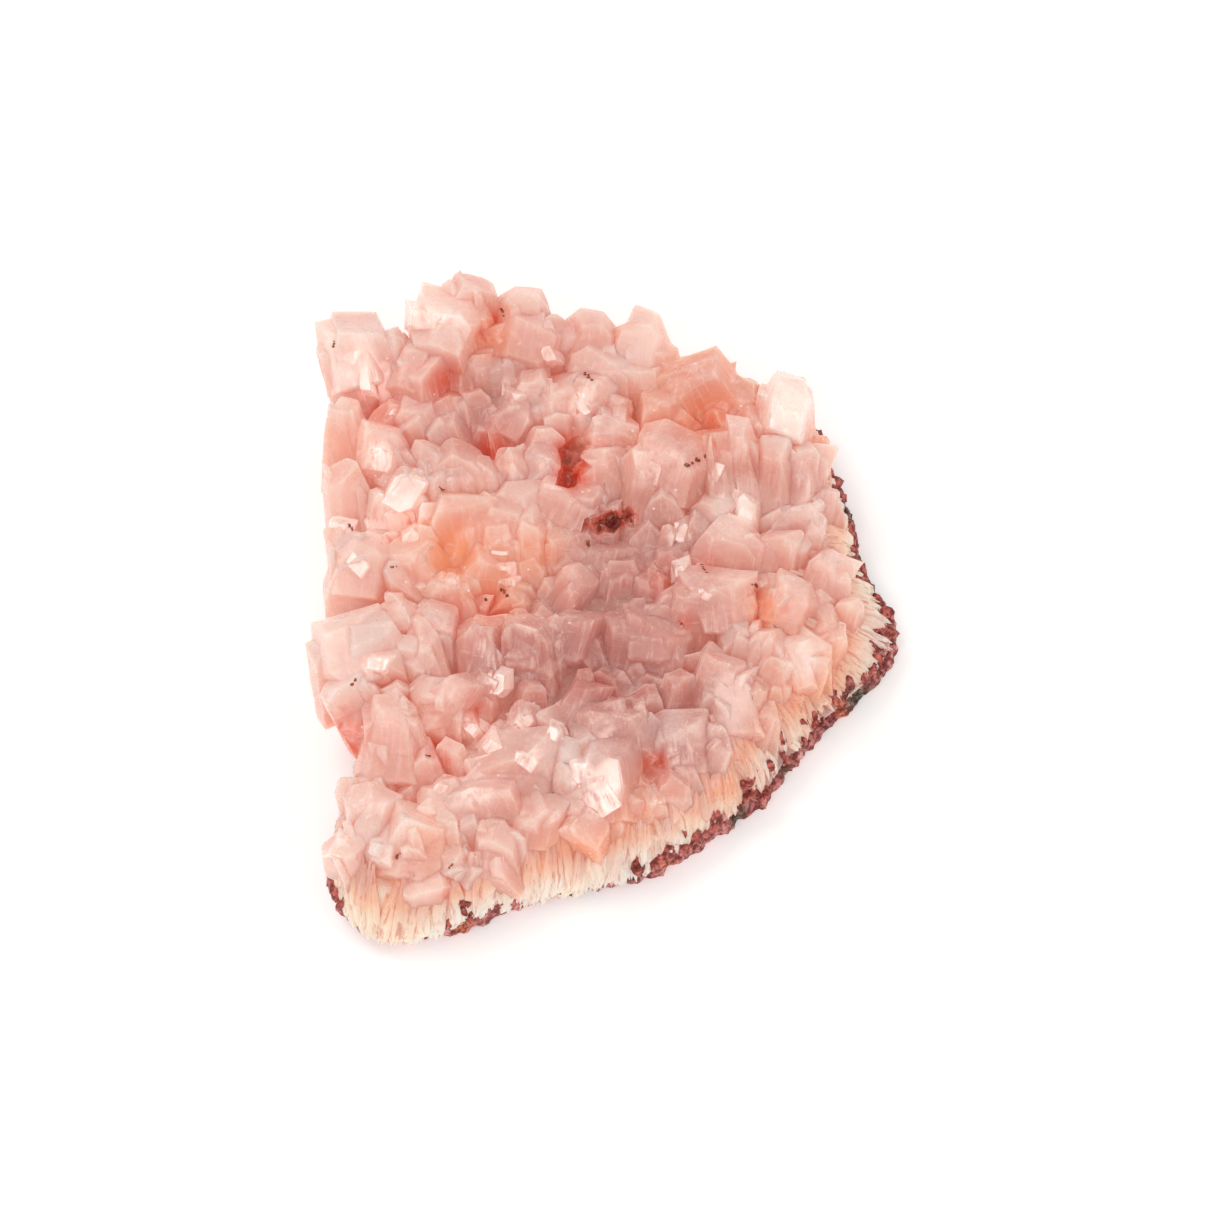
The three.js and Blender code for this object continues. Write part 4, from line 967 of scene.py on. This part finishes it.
def depthUnderTips(points, cell=0.6, reach=4, margin=6):
    # How far each point lies under the tips round it, in millimetres.
    low = points[:, :2].min(axis=0) - margin
    size = np.ceil((points[:, :2].max(axis=0) + margin - low) / cell).astype(int)
    column = tuple(((points[:, :2] - low) / cell).astype(int).T)
    height = np.zeros(size)
    np.maximum.at(height, column, points[:, 2])
    return np.maximum(spreadHighest(height, reach, 6)[column] - points[:, 2], 0)


def evened(mesh, values):
    # Each point's value shared with its neighbours, most with the nearest.
    points = meshArrays(mesh)[0]
    first, second = readArray(mesh.edges, "vertices", 2, int).T
    near = 1 / (np.linalg.norm(points[first] - points[second], axis=1) + 0.1 * millimetre)
    most = np.zeros(len(points))
    np.maximum.at(most, first, near)
    np.maximum.at(most, second, near)
    total, weight = values * most, most.copy()
    for a, b in ((first, second), (second, first)):
        np.add.at(total, a, near * values[b])
        np.add.at(weight, a, near)
    return total / weight


def softenShape(mesh, fillet, rounding):
    # Moves the bottoms of the creases outwards, and the ridges a little inwards.
    points, normals = meshArrays(mesh)
    sharpness = np.clip(edgeSharpness(mesh), -0.6, 0.6)
    move = np.where(sharpness < 0, fillet, rounding) * -sharpness
    for _ in range(3):
        move = evened(mesh, move)
    movePoints(mesh, points / millimetre + normals * move[:, None])


def softenCreases(mesh):
    # Only ridges stay sharp: the light runs smoothly through a crease.
    sharp = readArray(mesh.attributes["sharp_edge"].data, "value", kind=bool)
    ridge = edgeSharpness(mesh)[readArray(mesh.edges, "vertices", 2, int)].mean(axis=1) > -0.04
    mesh.attributes["sharp_edge"].data.foreach_set("value", sharp & ridge)


def roughen(mesh, slow, slowSize, quick, quickSize):
    # Moves the skin in and out a little, so that no flat is perfectly flat.
    points, normals = meshArrays(mesh)
    points = points / millimetre
    move = slow * smoothNoise(points, slowSize, 1.0) + quick * smoothNoise(points, quickSize, 2.0)
    movePoints(mesh, points + normals * move[:, None])


# coral and deep are painted shade in the creases, hollows and pits; warm is partly painted shade deep under
# the tips
crystalPaint = {
    "blush": "DDAEA1",
    "pale": "E2C3B7",
    "mist": "D2B3AB",
    "salmon": "D69E8E",
    "warm": "E79268",
    "coral": "D4583F",
    "rose": "B67B73",
    "white": "EAE3DB",
    "cream": "F8E8D0",
    "peach": "F3BD9D",
    "deep": "7A1E1A",
    "rust": "C0685E",
}


def colour(code):
    # A colour written as on a paint chart, in linear light.
    parts = [int(code[k : k + 2], 16) / 255 for k in (0, 2, 4)]
    return np.array([p / 12.92 if p <= 0.04045 else ((p + 0.055) / 1.055) ** 2.4 for p in parts])


def layered(paint, base, layers, count):
    # Coats of paint over a base: each name's colour, by its amount at each point.
    tint = np.tile(colour(paint[base]), (count, 1))
    for name, amount in layers:
        amount = np.clip(np.reshape(amount, (-1, 1)), 0, 1)
        tint = tint * (1 - amount) + colour(paint[name]) * amount
    return tint


def keepOnMesh(mesh, domain, **layers):
    for name, columns in layers.items():
        values = np.column_stack(columns).astype(np.float32)
        kind, field = (("FLOAT_VECTOR", "vector"), ("FLOAT_COLOR", "color"))[values.shape[1] - 3]
        mesh.attributes.new(name, kind, domain).data.foreach_set(field, values.ravel())


def cornerArrays(mesh, solids):
    # For each corner of each triangle: its point, its solid, its place and tone in that solid, and how far
    # it lies under that solid's top.
    corner = readArray(mesh.loops, "vertex_index", kind=int)
    owner = np.repeat(readArray(mesh.attributes["owner"].data, "value", kind=int), 3)
    lays = zip(*(solid[2] for solid in solids))
    feet, across, facing, axis, tones, tops = (np.array(part) for part in lays)
    offset = meshArrays(mesh)[0][corner] / millimetre - feet[owner]
    local = np.column_stack([(offset * way[owner]).sum(axis=1) for way in (across, axis, facing)])
    return corner, owner, local, tones[owner], tops[owner] - local[:, 1]


def buildCrystals():
    rng = random.Random(crystalShape["seed"])
    rim = rimRing(360)
    solids = [block for row in crystalTable for block in crystalPlates(row, rim, rng)]
    solids += fillerCrystals(solids, rim)
    solids += facetBlocks(solids)
    print("crystals", len(solids))
    whole = joinSolids("heulanditeMass", crustSkin(), solids)
    combine(whole, pitBlocks(solids), "DIFFERENCE", itertools.repeat(0))
    refine(whole, crystalShape["longestEdge"], 2, shortest=crystalShape["shortestEdge"])
    softenShape(whole.data, crystalShape["fillet"], crystalShape["rounding"])
    roughen(whole.data, *crystalShape["unevenness"])
    print("joined", len(whole.data.polygons))
    ground = (None, None, (np.zeros(3), *np.eye(3), 0.0, 12.0))
    paintCrystals(whole, [ground] + solids)
    whole.data.shade_smooth()
    whole.data.set_sharp_from_angle(angle=crystalShape["sharpAngle"])
    softenCreases(whole.data)
    return whole


def paintCrystals(whole, solids):
    mesh = whole.data
    points = meshArrays(mesh)[0] / millimetre
    corner, owner, local, tone, below = cornerArrays(mesh, solids)
    count = len(corner)
    places = seenFrom(points)[corner]
    clear = openness(whole, 4.5 * millimetre)[corner]
    depth = depthUnderTips(points)[corner]
    cloud = smoothNoise(points, 6.0, 5.0)[corner]
    over = points[corner, 2] - partingHeight(points, True)[corner]
    normals = np.repeat(readArray(mesh.polygons, "normal", 3), 3, axis=0)
    # painted glint: where the base colour goes towards the glint tint, and the skin is glossier as well
    lustreAndPaintedGlint = np.maximum(np.clip(tone - 2.0, 0, 1), glintStrength(places, normals))
    tone = np.where(tone > 1.8, 0.3, tone)
    crestward = step(3.6, 0.2, below + 0.4 * depth - 1.2 * cloud)
    edge = step(-21.5, -26.0, places[:, 0])
    spots = patchStrengths(places, colourPatches)
    wall = (owner == 0) * step(plate["wallHeight"] + 0.4, plate["wallHeight"] - 0.6, points[corner, 2])
    sunk = step(1.4, 5.5, depth) * (1 - wall)
    pit = hollowDepth(points)[corner] * step(1.2, 4.0, depth)
    tint = layered(crystalPaint, "salmon", [
        ("blush", step(6.5, 2.0, below + 0.6 * depth - 2.0 * cloud)),
        ("pale", (0.54 + 0.26 * tone) * crestward),
        ("mist", 0.9 * crestward * step(0.1, 0.9, -tone + 0.8 * cloud)),
        # warmer deep under the tips: partly the crystals' own warmer feet, partly painted shade
        ("warm", (0.34 - 0.3 * edge) * step(2.0, 6.0, depth)),
        ("pale", 0.6 * edge * step(0.0, 3.0, below)),
        ("rose", 0.75 * spots["rose"]),
        ("warm", 0.85 * spots["warm"] * step(-1.5, 2.5, depth + cloud)),
        # painted shade: coral on the patches over the hollows, only where the skin lies under the tips
        ("coral", 0.75 * spots["coral"] * step(-0.5, 2.5, depth)),
        ("white", 0.85 * spots["pale"] * step(5.0, 1.0, depth)),
        ("cream", wall),
        ("rust", 0.9 * wall * step(2.2, 1.2, over - 0.8 * cloud)),
        ("warm", 0.8 * wall * step(0.0, 0.5, smoothNoise(points, 2.4, 8.0)[corner])),
        # painted shade: coral in the creases, where the skin lies deep under the tips and little over it is
        # clear
        ("coral", (0.4 - 0.35 * edge) * sunk * step(0.6, 0.2, clear)),
        # painted shade: coral in the hollows, and near black at the bottom of the deepest pits
        ("coral", 0.75 * step(0.4, 2.6, pit)),
        ("deep", 0.95 * step(3.2, 4.6, pit) * step(2.5, 5.0, depth)),
    ], count)
    crest = step(2.6, 0.1, below) * step(3.0, 0.5, depth)
    # ridges: frosted, and lighter as a painted highlight
    ridge = np.clip(edgeSharpness(mesh)[corner] * 2.2, 0, 1)
    keepOnMesh(mesh, "CORNER", tint=(tint, 0.5 + 0.4 * tone), form=(crest, ridge, np.zeros(count), lustreAndPaintedGlint),
               grain=(local + 17.0 * owner[:, None],))
    print("painted crystals")


# Patches of colour along the broken wall.
wallPatches = {
    "orange": [(22.6, -7, 3.6, 0.9), (13, -18.6, 4, 0.7), (-2.6, -24, 3, 0.8), (-20, -28, 2.6, 0.5),
               (19, -11, 3, 0.6), (-9, -26.6, 2, 0.5)],
    "white": [(27.6, -2, 3.6, 1), (3, -26.4, 6, 0.9), (-13.6, -30.6, 3.6, 0.8), (17.2, -15, 3, 0.7),
              (24.6, 11, 3, 0.8), (-8, -29.6, 3, 0.7)],
}


def buildFibres():
    blades = fibreBlades()
    whole = joinSolids("fibreWall", blades[0], blades[1:])
    refine(whole, fibreShape["longestEdge"], 1, oneSkin=False)
    mesh = whole.data
    roughen(mesh, *fibreShape["unevenness"])
    points = meshArrays(mesh)[0] / millimetre
    corner, owner, local, tone, _ = cornerArrays(mesh, blades)
    count = len(corner)
    clear = openness(whole, 3.0 * millimetre)[corner]
    rise = (points[corner, 2] - plate["rindThickness"]) / (plate["wallHeight"] - plate["rindThickness"])
    spots = patchStrengths(seenFrom(points)[corner], wallPatches)
    tint = layered(crystalPaint, "cream", [
        ("peach", step(0.4, 0.9, rise + 0.2 * tone)),
        ("blush", 0.9 * step(0.75, 1.2, rise + 0.25 * tone)),
        ("warm", 0.75 * spots["orange"] * step(-0.3, 0.4, rise)),
        ("white", 0.8 * spots["white"] * step(1.0, 0.5, rise)),
        ("white", 0.6 * np.maximum(tone, 0) * step(0.7, 0.2, rise)),
        ("salmon", 0.5 * np.maximum(-tone, 0) * step(0.1, 0.5, rise)),
        # painted shade: coral where little over the fibres is clear
        ("coral", 0.4 * step(0.5, 0.1, clear)),
    ], count)
    keepOnMesh(mesh, "CORNER", tint=(tint, 0.5 + 0.3 * tone), form=np.eye(4)[[2] * count].T,
               grain=(local + 17.0 * owner[:, None],))
    mesh.shade_smooth()
    mesh.set_sharp_from_angle(angle=fibreShape["sharpAngle"])
    print("fibres", len(mesh.polygons))
    return whole


# The rock rind.
rindShape = {
    "count": 620,
    "knob": 0.6,
    "knobSizes": (1.7, 0.75),
    "grit": (0.22, 0.6),
    "teeth": 460,
    "toothHeight": (0.8, 3.4),
    "toothWidth": (0.6, 1.5),
    "footHeight": 0.75,
    "longestEdge": 0.9,
    "seed": 3.0,
}
rindPaint = {"maroon": "DE8683", "brick": "F4A9A0", "dark": "B06262", "green": "6E6650", "ash": "E4D0C0",
             "red": "D8695A", "coral": "F08A62"}
rindPatches = {
    "green": [(25.2, -9, 1.3, 1.2), (12.9, -21.2, 0.6, 1.5), (24.4, 9.6, 1, 0.8), (17.6, -16.2, 0.7, 0.8)],
    "coral": [(23.1, -10.2, 0.7, 1.5), (-14.3, -31, 0.9, 1.2), (-21.6, -32.6, 1.2, 1), (6.2, -25.6, 0.7, 1)],
}


def knobs(points, size, seed):
    # Rounded lumps, like grapes, about this many millimetres apart: 0 between them, 1 on top.
    offset = Vector((seed, -seed, 2 * seed))
    return np.array([1 - min(1, noise.voronoi(Vector(p) / size + offset)[0][0] ** 2 * 1.6) for p in points])


def rindSkin():
    rim = rimRing(rindShape["count"])
    undercut, ledge, foot = plate["rindUndercut"], plate["rindLedge"], rindShape["footHeight"]

    def underside(ring):
        x, y = (ring[:, :2] - shift).T
        return np.maximum(0, 1.5 * np.sin(0.36 * x + 0.5) * np.sin(0.31 * y - 0.8) + 0.1)

    rings = [ringAt(rim, share, 0.0, underside) for share in np.linspace(0.06, 0.9, 18)]
    for t in np.linspace(0, 1, 7)[1:]:
        rings.append(ringAt(rim, 1.0, -undercut - 1.6 * (1 - t) ** 2,
                            lambda ring: underside(ring) * (1 - t) + foot * t))
    for t in np.linspace(0, 1, 12)[1:]:
        swell = math.sin(math.pi * t) ** 0.6
        rings.append(ringAt(rim, 1.0, (-undercut * (1 - t) - ledge * t) * (1 - 0.72 * swell) - 0.1,
                            lambda ring: foot * (1 - t) + partingHeight(ring, True) * t))
    for share in (0.95, 0.86, 0.5):
        rings.append(ringAt(rim, share, -ledge, lambda ring: partingHeight(ring, False)))
    return skin(rings, [*plateMiddle, 0.0], [*plateMiddle, partingHeight(plateMiddle[None], False)[0]])


def rockTeeth():
    # Ragged points of rock that stand up between the fibres.
    rng = random.Random(rindShape["seed"])
    rim = rimRing(fibreShape["ringCount"])
    made = []
    for _ in range(rindShape["teeth"]):
        k = rng.randrange(len(rim))
        if coveringAt(rim[k]) > 0.2:
            continue
        height = rng.uniform(*rindShape["toothHeight"]) * rng.uniform(0.4, 1.0)
        share = height / (plate["wallHeight"] - plate["rindThickness"])
        start, outward = wallPlace(rim, k, 0.0, rng.uniform(0.2, 0.6))
        start[2] -= 1.2
        end = wallPlace(rim, (k + rng.randint(-4, 4)) % len(rim), share, rng.uniform(0.4, 0.8))[0]
        width = rng.uniform(*rindShape["toothWidth"])
        made.append(spindle(start, end, width, width * rng.uniform(0.7, 1.1), outward, 0.0))
    return made


def buildRind():
    rind = joinSolids("rindRock", rindSkin(), rockTeeth())
    refine(rind, rindShape["longestEdge"], 1)
    mesh = rind.data
    points, normals = meshArrays(mesh)
    points /= millimetre
    large, small = rindShape["knobSizes"]
    lump = knobs(points, large, rindShape["seed"]) + 0.5 * knobs(points, small, 2.0)
    high, size = rindShape["grit"]
    relief = rindShape["knob"] * (lump - 0.75) + high * smoothNoise(points, size, 6.0)
    movePoints(mesh, points + normals * np.where(points[:, 2] < 0.02, 0.0, relief)[:, None])
    tint = layered(rindPaint, "maroon", [
        # lighter on the knobs' tops, and painted shade in the dips between them
        ("brick", 0.8 * step(0.6, 1.3, lump)),
        ("dark", 0.85 * step(0.5, 0.1, lump)),
        ("green", 0.9 * step(0.3, 0.5, smoothNoise(points, 4.0, 9.0))),
        ("ash", 0.6 * step(0.38, 0.6, smoothNoise(points, 2.4, 12.0))),
        ("red", 0.75 * step(0.0, 0.7, points[:, 2] - partingHeight(points, True))),
        *patchStrengths(seenFrom(points), rindPatches).items(),
    ], len(points))
    keepOnMesh(mesh, "POINT", tint=(tint, np.ones(len(points))))
    mesh.shade_smooth()
    print("rind", len(mesh.polygons))
    return rind


# Materials.
def connect(value, socket):
    if isinstance(value, bpy.types.NodeSocket):
        socket.id_data.links.new(value, socket)
    else:
        socket.default_value = value


def setInputs(node, inputs):
    for name, value in inputs.items():
        connect(value, node.inputs[name])


def addNode(tree, kind, inputs=None, **settings):
    node = tree.nodes.new(kind)
    for name, value in settings.items():
        setattr(node, name, value)
    setInputs(node, inputs or {})
    return node


def maths(operation, a, b, clamp=False):
    return addNode(a.id_data, "ShaderNodeMath", {0: a, 1: b}, operation=operation, use_clamp=clamp).outputs[0]


def times(a, b):
    return maths("MULTIPLY", a, b)


def plus(a, b):
    return maths("ADD", a, b)


def mixed(factor, a, b, blend="MIX"):
    # Two colours mixed. Each is a socket or a paint chart's code.
    a, b = (value if isinstance(value, bpy.types.NodeSocket) else (*colour(value), 1.0) for value in (a, b))
    tree = (factor if isinstance(factor, bpy.types.NodeSocket) else a).id_data
    node = addNode(tree, "ShaderNodeMix", data_type="RGBA", blend_type=blend)
    setInputs(node, {0: factor, 6: a, 7: b})
    return node.outputs[2]


def spread(value, low, high, toLow=0.0, toHigh=1.0):
    ends = {"Value": value, "From Min": low, "From Max": high, "To Min": toLow, "To Max": toHigh}
    node = addNode(value.id_data, "ShaderNodeMapRange", ends, interpolation_type="SMOOTHSTEP")
    return node.outputs["Result"]


def noiseNode(vector, scale, detail, roughness, distortion=0.0):
    inputs = {"Vector": vector, "Scale": scale, "Detail": detail, "Roughness": roughness,
              "Distortion": distortion}
    return addNode(vector.id_data, "ShaderNodeTexNoise", inputs).outputs["Fac"]


def stretchedNoise(vector, stretch, scale, detail, roughness):
    scaled = addNode(vector.id_data, "ShaderNodeVectorMath", {0: vector, 1: stretch}, operation="MULTIPLY")
    return noiseNode(scaled.outputs[0], scale, detail, roughness)


def dotsNode(vector, scale, low, high):
    # Small dots: 1 in the middle of each.
    dots = addNode(vector.id_data, "ShaderNodeTexVoronoi", {"Vector": vector, "Scale": scale})
    return spread(dots.outputs["Distance"], high, low)


def materialOf(name):
    material = bpy.data.materials.new(name)
    material.use_nodes = True
    tree = material.node_tree
    place = addNode(tree, "ShaderNodeTexCoord").outputs["Object"]
    return material, tree, tree.nodes["Principled BSDF"], place


def mineralGrainGroup():
    # Fine noise at two sizes: a mask for colour and a height for bump, for crystal and rock alike.
    group = bpy.data.node_groups.new("MineralGrain", "ShaderNodeTree")
    for side, names in (("INPUT", ("Coarse Scale", "Fine Scale")), ("OUTPUT", ("Mask", "Height"))):
        for name in names:
            group.interface.new_socket(name, in_out=side, socket_type="NodeSocketFloat")
    start = addNode(group, "NodeGroupInput").outputs
    place = addNode(group, "ShaderNodeTexCoord").outputs["Object"]
    coarse = noiseNode(place, start["Coarse Scale"], 5.0, 0.62)
    fine = noiseNode(place, start["Fine Scale"], 3.0, 0.6)
    addNode(group, "NodeGroupOutput",
            {"Mask": spread(coarse, 0.38, 0.68), "Height": plus(times(coarse, 0.6), times(fine, 0.4))})
    return group


def grainNode(tree, group, coarse, fine):
    node = addNode(tree, "ShaderNodeGroup", node_tree=group)
    setInputs(node, {"Coarse Scale": coarse, "Fine Scale": fine})
    return node.outputs["Mask"], node.outputs["Height"]


crystalLook = {
    "subsurface": 0.85,
    "subsurfaceDepth": 0.007,
    "subsurfaceReach": (1.0, 0.5, 0.4),
    "transmission": 0.05,
    "ior": 1.5,
    "paintedGlow": 0.25,
    "pearlAndPaintedGlint": "FCDDD2",
    "frost": "F4D5C9",
    "streak": "C96A55",
    "depth": "F3B5A4",
    "bump": 0.32,
    "bumpDepth": 0.0005,
    "coat": 0.14,
    "coatRoughness": 0.14,
}
fibreLook = {"subsurface": 0.5, "subsurfaceDepth": 0.0015, "subsurfaceReach": (1.0, 0.8, 0.7), "coat": 0.1,
             "transmission": 0.0, "paintedGlow": 0.14}


def crystalMaterial(grain, name, changes):
    look = {**crystalLook, **changes}
    material, tree, shader, place = materialOf(name)
    tint, form, local = (addNode(tree, "ShaderNodeAttribute", attribute_name=kept).outputs
                         for kept in ("tint", "form", "grain"))
    crest, sharp, wall = addNode(tree, "ShaderNodeSeparateColor", {"Color": form["Color"]}).outputs
    local = local["Vector"]
    lines = stretchedNoise(local, (1.5, 0.14, 1.5), 1.6, 4.0, 0.65)  # growth lines along the crystal
    bands = stretchedNoise(local, (0.25, 1.5, 0.25), 1.3, 3.0, 0.6)  # and across it
    dashes = stretchedNoise(local, (3.0, 1.3, 3.0), 1.0, 4.0, 0.7)
    grainMask = grainNode(tree, grain, 400.0, 2600.0)[0]
    veil = noiseNode(place, 260.0, 5.0, 0.6, 0.6)
    frost, paintedGlintTint = look["frost"], look["pearlAndPaintedGlint"]
    # veils: cloudy patches inside the crystal, and deeper ones between them
    base = mixed(times(spread(veil, 0.5, 0.75), 0.45), tint["Color"], frost)
    base = mixed(times(spread(veil, 0.5, 0.3), 0.25), base, mixed(1.0, base, look["depth"], "MULTIPLY"))
    # etched frost: fine dashes along the crystal, thickest at its top
    etched = times(spread(dashes, 0.5, 0.75), spread(crest, 0.0, 1.0, 0.0, 0.6))
    base = mixed(times(etched, spread(veil, 0.42, 0.6)), base, frost)
    streaks = maths("MAXIMUM", spread(lines, 0.52, 0.68), spread(bands, 0.62, 0.72))
    base = mixed(times(streaks, 0.25), base, frost)
    # red streaks between the fibres of the broken wall, and frosted edges that are also a painted highlight
    # along the ridges
    base = mixed(times(times(spread(lines, 0.48, 0.34), wall), 0.6), base, look["streak"])
    frostAndPaintedHighlight = times(spread(sharp, 0.12, 0.6), spread(grainMask, 0.0, 1.0, 0.3, 0.9))
    base = mixed(times(frostAndPaintedHighlight, 0.15), base, frost)
    # pearly patches with a painted glint: a lighter base colour, broken by fine lines and blotches
    broken = plus(times(lines, 0.5), times(veil, 0.5))
    pearlAndPaintedGlint = times(form["Alpha"], spread(broken, 0.4, 0.52, 0.1, 1.0))
    base = mixed(pearlAndPaintedGlint, base, paintedGlintTint)
    # painted sparkles: small bright dots in the glint tint
    paintedSparkles = times(dotsNode(place, 560.0, 0.06, 0.1), spread(veil, 0.5, 0.56))  # small and bright
    base = mixed(times(paintedSparkles, 0.8), base, paintedGlintTint)
    rough = plus(plus(times(grainMask, 0.25), times(tint["Alpha"], 0.15)), 0.18)
    height = plus(plus(times(lines, 0.6), times(bands, 0.4)), times(dashes, 0.2))
    bump = addNode(tree, "ShaderNodeBump",
                   {"Strength": look["bump"], "Distance": look["bumpDepth"], "Height": height})
    setInputs(shader, {
        "Base Color": base,
        "Roughness": maths("SUBTRACT", rough, times(pearlAndPaintedGlint, 0.25), clamp=True),
        "Normal": bump.outputs["Normal"],
        "IOR": look["ior"],
        "Subsurface Weight": look["subsurface"],
        "Subsurface Scale": look["subsurfaceDepth"],
        "Subsurface Radius": look["subsurfaceReach"],
        "Coat Weight": plus(times(pearlAndPaintedGlint, 0.5), look["coat"]),
        "Coat Roughness": look["coatRoughness"],
        "Transmission Weight": look["transmission"],
        # painted glow: the skin gives off light in its own colour, standing in for light through the crystal
        "Emission Color": base,
        "Emission Strength": look["paintedGlow"],
    })
    return material


rindLook = {"crevice": "8C6A66", "fleck": "D9A79A", "paintedGlow": 0.1, "bump": 0.6, "bumpDepth": 0.0004}


def rindMaterial(grain):
    material, tree, shader, place = materialOf("maroonRock")
    tint = addNode(tree, "ShaderNodeAttribute", attribute_name="tint").outputs["Color"]
    mask, height = grainNode(tree, grain, 1500.0, 5200.0)
    base = mixed(mask, mixed(1.0, tint, rindLook["crevice"], "MULTIPLY"), tint)
    base = mixed(times(dotsNode(place, 900.0, 0.08, 0.16), 0.6), base, rindLook["fleck"])
    bump = addNode(tree, "ShaderNodeBump",
                   {"Strength": rindLook["bump"], "Distance": rindLook["bumpDepth"], "Height": height})
    setInputs(shader, {
        "Base Color": base,
        "Roughness": spread(mask, 0.0, 1.0, 0.85, 0.6),
        "Normal": bump.outputs["Normal"],
        # painted glow: the rock gives off a little light in its own colour, lifting its shade
        "Emission Color": base,
        "Emission Strength": rindLook["paintedGlow"],
    })
    return material


# Dark specks that sit in the crevices.
specks = {
    # (across, up, size)
    "places": [
        (-10.6, 30, 0.34), (-1.9, 23.3, 0.5), (9.1, 14.7, 0.55), (-0.9, 8.2, 0.4), (0.2, 8.7, 0.6),
        (1, 8.9, 0.35), (-1.9, 6.4, 0.45), (2.1, 9, 0.4), (-10.3, 1.6, 0.55), (-12.1, 0.8, 0.32),
        (9.6, 3.9, 0.45), (14.8, 2.2, 0.4), (-25.6, 8, 0.4), (-24.8, -7.2, 0.35), (-20.4, -24.2, 0.3),
        (-15.2, -25.2, 0.28), (-17.5, -14.6, 0.3), (-27.6, 26.6, 0.3), (-21.4, 4, 0.3), (-16.6, 11.8, 0.3),
        (7.4, -1.6, 0.3),
    ],
    "grains": 8,
    "grainSize": (0.2, 0.42),
    "run": 0.6,  # how far a place's grains spread along its own line
    "aside": 0.15,
    "dark": "84341E",
    "light": "B06A4C",
    "seed": 5,
}


def speckPiece(surface):
    rng = random.Random(specks["seed"])
    tree = BVHTree.FromObject(surface, bpy.context.evaluated_depsgraph_get())
    bm = bmesh.new()
    for across, up, size in specks["places"]:
        turn = rng.uniform(0, math.pi)
        for _ in range(specks["grains"]):
            run, aside = rng.gauss(0, specks["run"]) * size, rng.gauss(0, specks["aside"]) * size
            start = Vector(placed(*np.add((across, up), spun(run, aside, -turn)), sky)) * millimetre
            hit = tree.ray_cast(start, Vector(away))[0]
            if hit is None:
                continue
            radius = rng.uniform(*specks["grainSize"]) * size * millimetre
            made = bmesh.ops.create_icosphere(bm, subdivisions=2, radius=radius)
            stretch = [rng.uniform(0.5, 1.5) for _ in range(3)]
            for vertex in made["verts"]:
                rough = 1 + 0.5 * noise.noise(vertex.co * 7000 + Vector((across, up, run)))
                vertex.co = hit + Vector([vertex.co[k] * stretch[k] * rough for k in range(3)])
    mesh = bpy.data.meshes.new("darkSpecks")
    bm.to_mesh(mesh)
    bm.free()
    return putInScene("darkSpecks", mesh)


def speckMaterial(grain):
    material, tree, shader, _ = materialOf("darkOxide")
    mask = grainNode(tree, grain, 2500.0, 7000.0)[0]
    setInputs(shader, {"Base Color": mixed(mask, specks["dark"], specks["light"]),
                       "Roughness": spread(mask, 0.0, 1.0, 0.7, 0.45)})
    return material


# The studio.
studio = {
    "floor": ("FBFBFA", "E9E6E2"),
    "floorSize": 3.0,
    "floorRoughness": 0.7,
    "floorGlow": 0.3,
    "cameraDistance": 0.62,
    "viewWidth": 0.1214,  # what the camera takes in at the crystals, in metres
    "aimHeight": 8.0,
    "world": 0.57,
    "worldTint": (1.0, 0.985, 0.975, 1.0),
    # place, side, power and tint
    "lights": {
        "keySoftbox": ((-0.35, 0.25, 0.62), 0.4, 1.2, (1.0, 0.985, 0.96)),
        "frontSoftbox": ((-0.12, -0.5, 0.62), 0.26, 1.1, (1.0, 1.0, 1.0)),
        "sideFill": ((0.6, -0.1, 0.4), 0.5, 0.7, (1.0, 1.0, 1.0)),
    },
}


def makeFloor():
    bpy.ops.mesh.primitive_grid_add(x_subdivisions=8, y_subdivisions=8, size=studio["floorSize"])
    floor = bpy.context.object
    floor.name = "floor"
    material, tree, shader, place = materialOf("paleFloor")
    base = mixed(times(noiseNode(place, 6.0, 3.0, 0.5), 0.12), *studio["floor"])
    setInputs(shader, {"Base Color": base, "Roughness": studio["floorRoughness"], "Emission Color": base,
                       "Emission Strength": studio["floorGlow"]})
    floor.data.materials.append(material)
    return floor


def setLooking(name, data, place, target):
    # A light or camera at a place, turned towards its target.
    holder = putInScene(name, data)
    holder.location = place
    holder.rotation_euler = (target - place).to_track_quat("-Z", "Y").to_euler()
    return holder


def makeStudio():
    for name, (place, side, power, tint) in studio["lights"].items():
        light = bpy.data.lights.new(name, "AREA")
        light.size = side
        light.energy = power
        light.color = tint
        setLooking(name, light, Vector(place), Vector((0, 0, 0)))
    world = bpy.data.worlds.new("studioLight")
    bpy.context.scene.world = world
    world.use_nodes = True
    background = world.node_tree.nodes["Background"]
    setInputs(background, {"Color": studio["worldTint"], "Strength": studio["world"]})
    bpy.context.scene.view_settings.view_transform = "Standard"


def makeCamera():
    # It looks at where across and up are both 0, on the plate's mean height.
    aim = Vector(placed(0.0, 0.0, studio["aimHeight"])) * millimetre
    camera = bpy.data.cameras.new("camera")
    camera.angle = 2 * math.atan(0.5 * studio["viewWidth"] / studio["cameraDistance"])
    camera.clip_end = 20.0
    place = aim - Vector(away) * studio["cameraDistance"]
    bpy.context.scene.camera = setLooking("camera", camera, place, aim)


# Assembly.
grain = mineralGrainGroup()
crystals = buildCrystals()
crystals.data.materials.append(crystalMaterial(grain, "pinkHeulandite", {}))
fibres = buildFibres()
fibres.data.materials.append(crystalMaterial(grain, "fibrousHeulandite", fibreLook))
rind = buildRind()
rind.data.materials.append(rindMaterial(grain))
darkSpecks = speckPiece(crystals)
darkSpecks.data.materials.append(speckMaterial(grain))
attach(crystals, "root")
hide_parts("heulandite_crystals")
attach(fibres, "root")
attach(rind, "root")
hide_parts("rock_rind")
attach(darkSpecks, "root")
makeFloor()
makeStudio()
makeCamera()
print("studio ready")
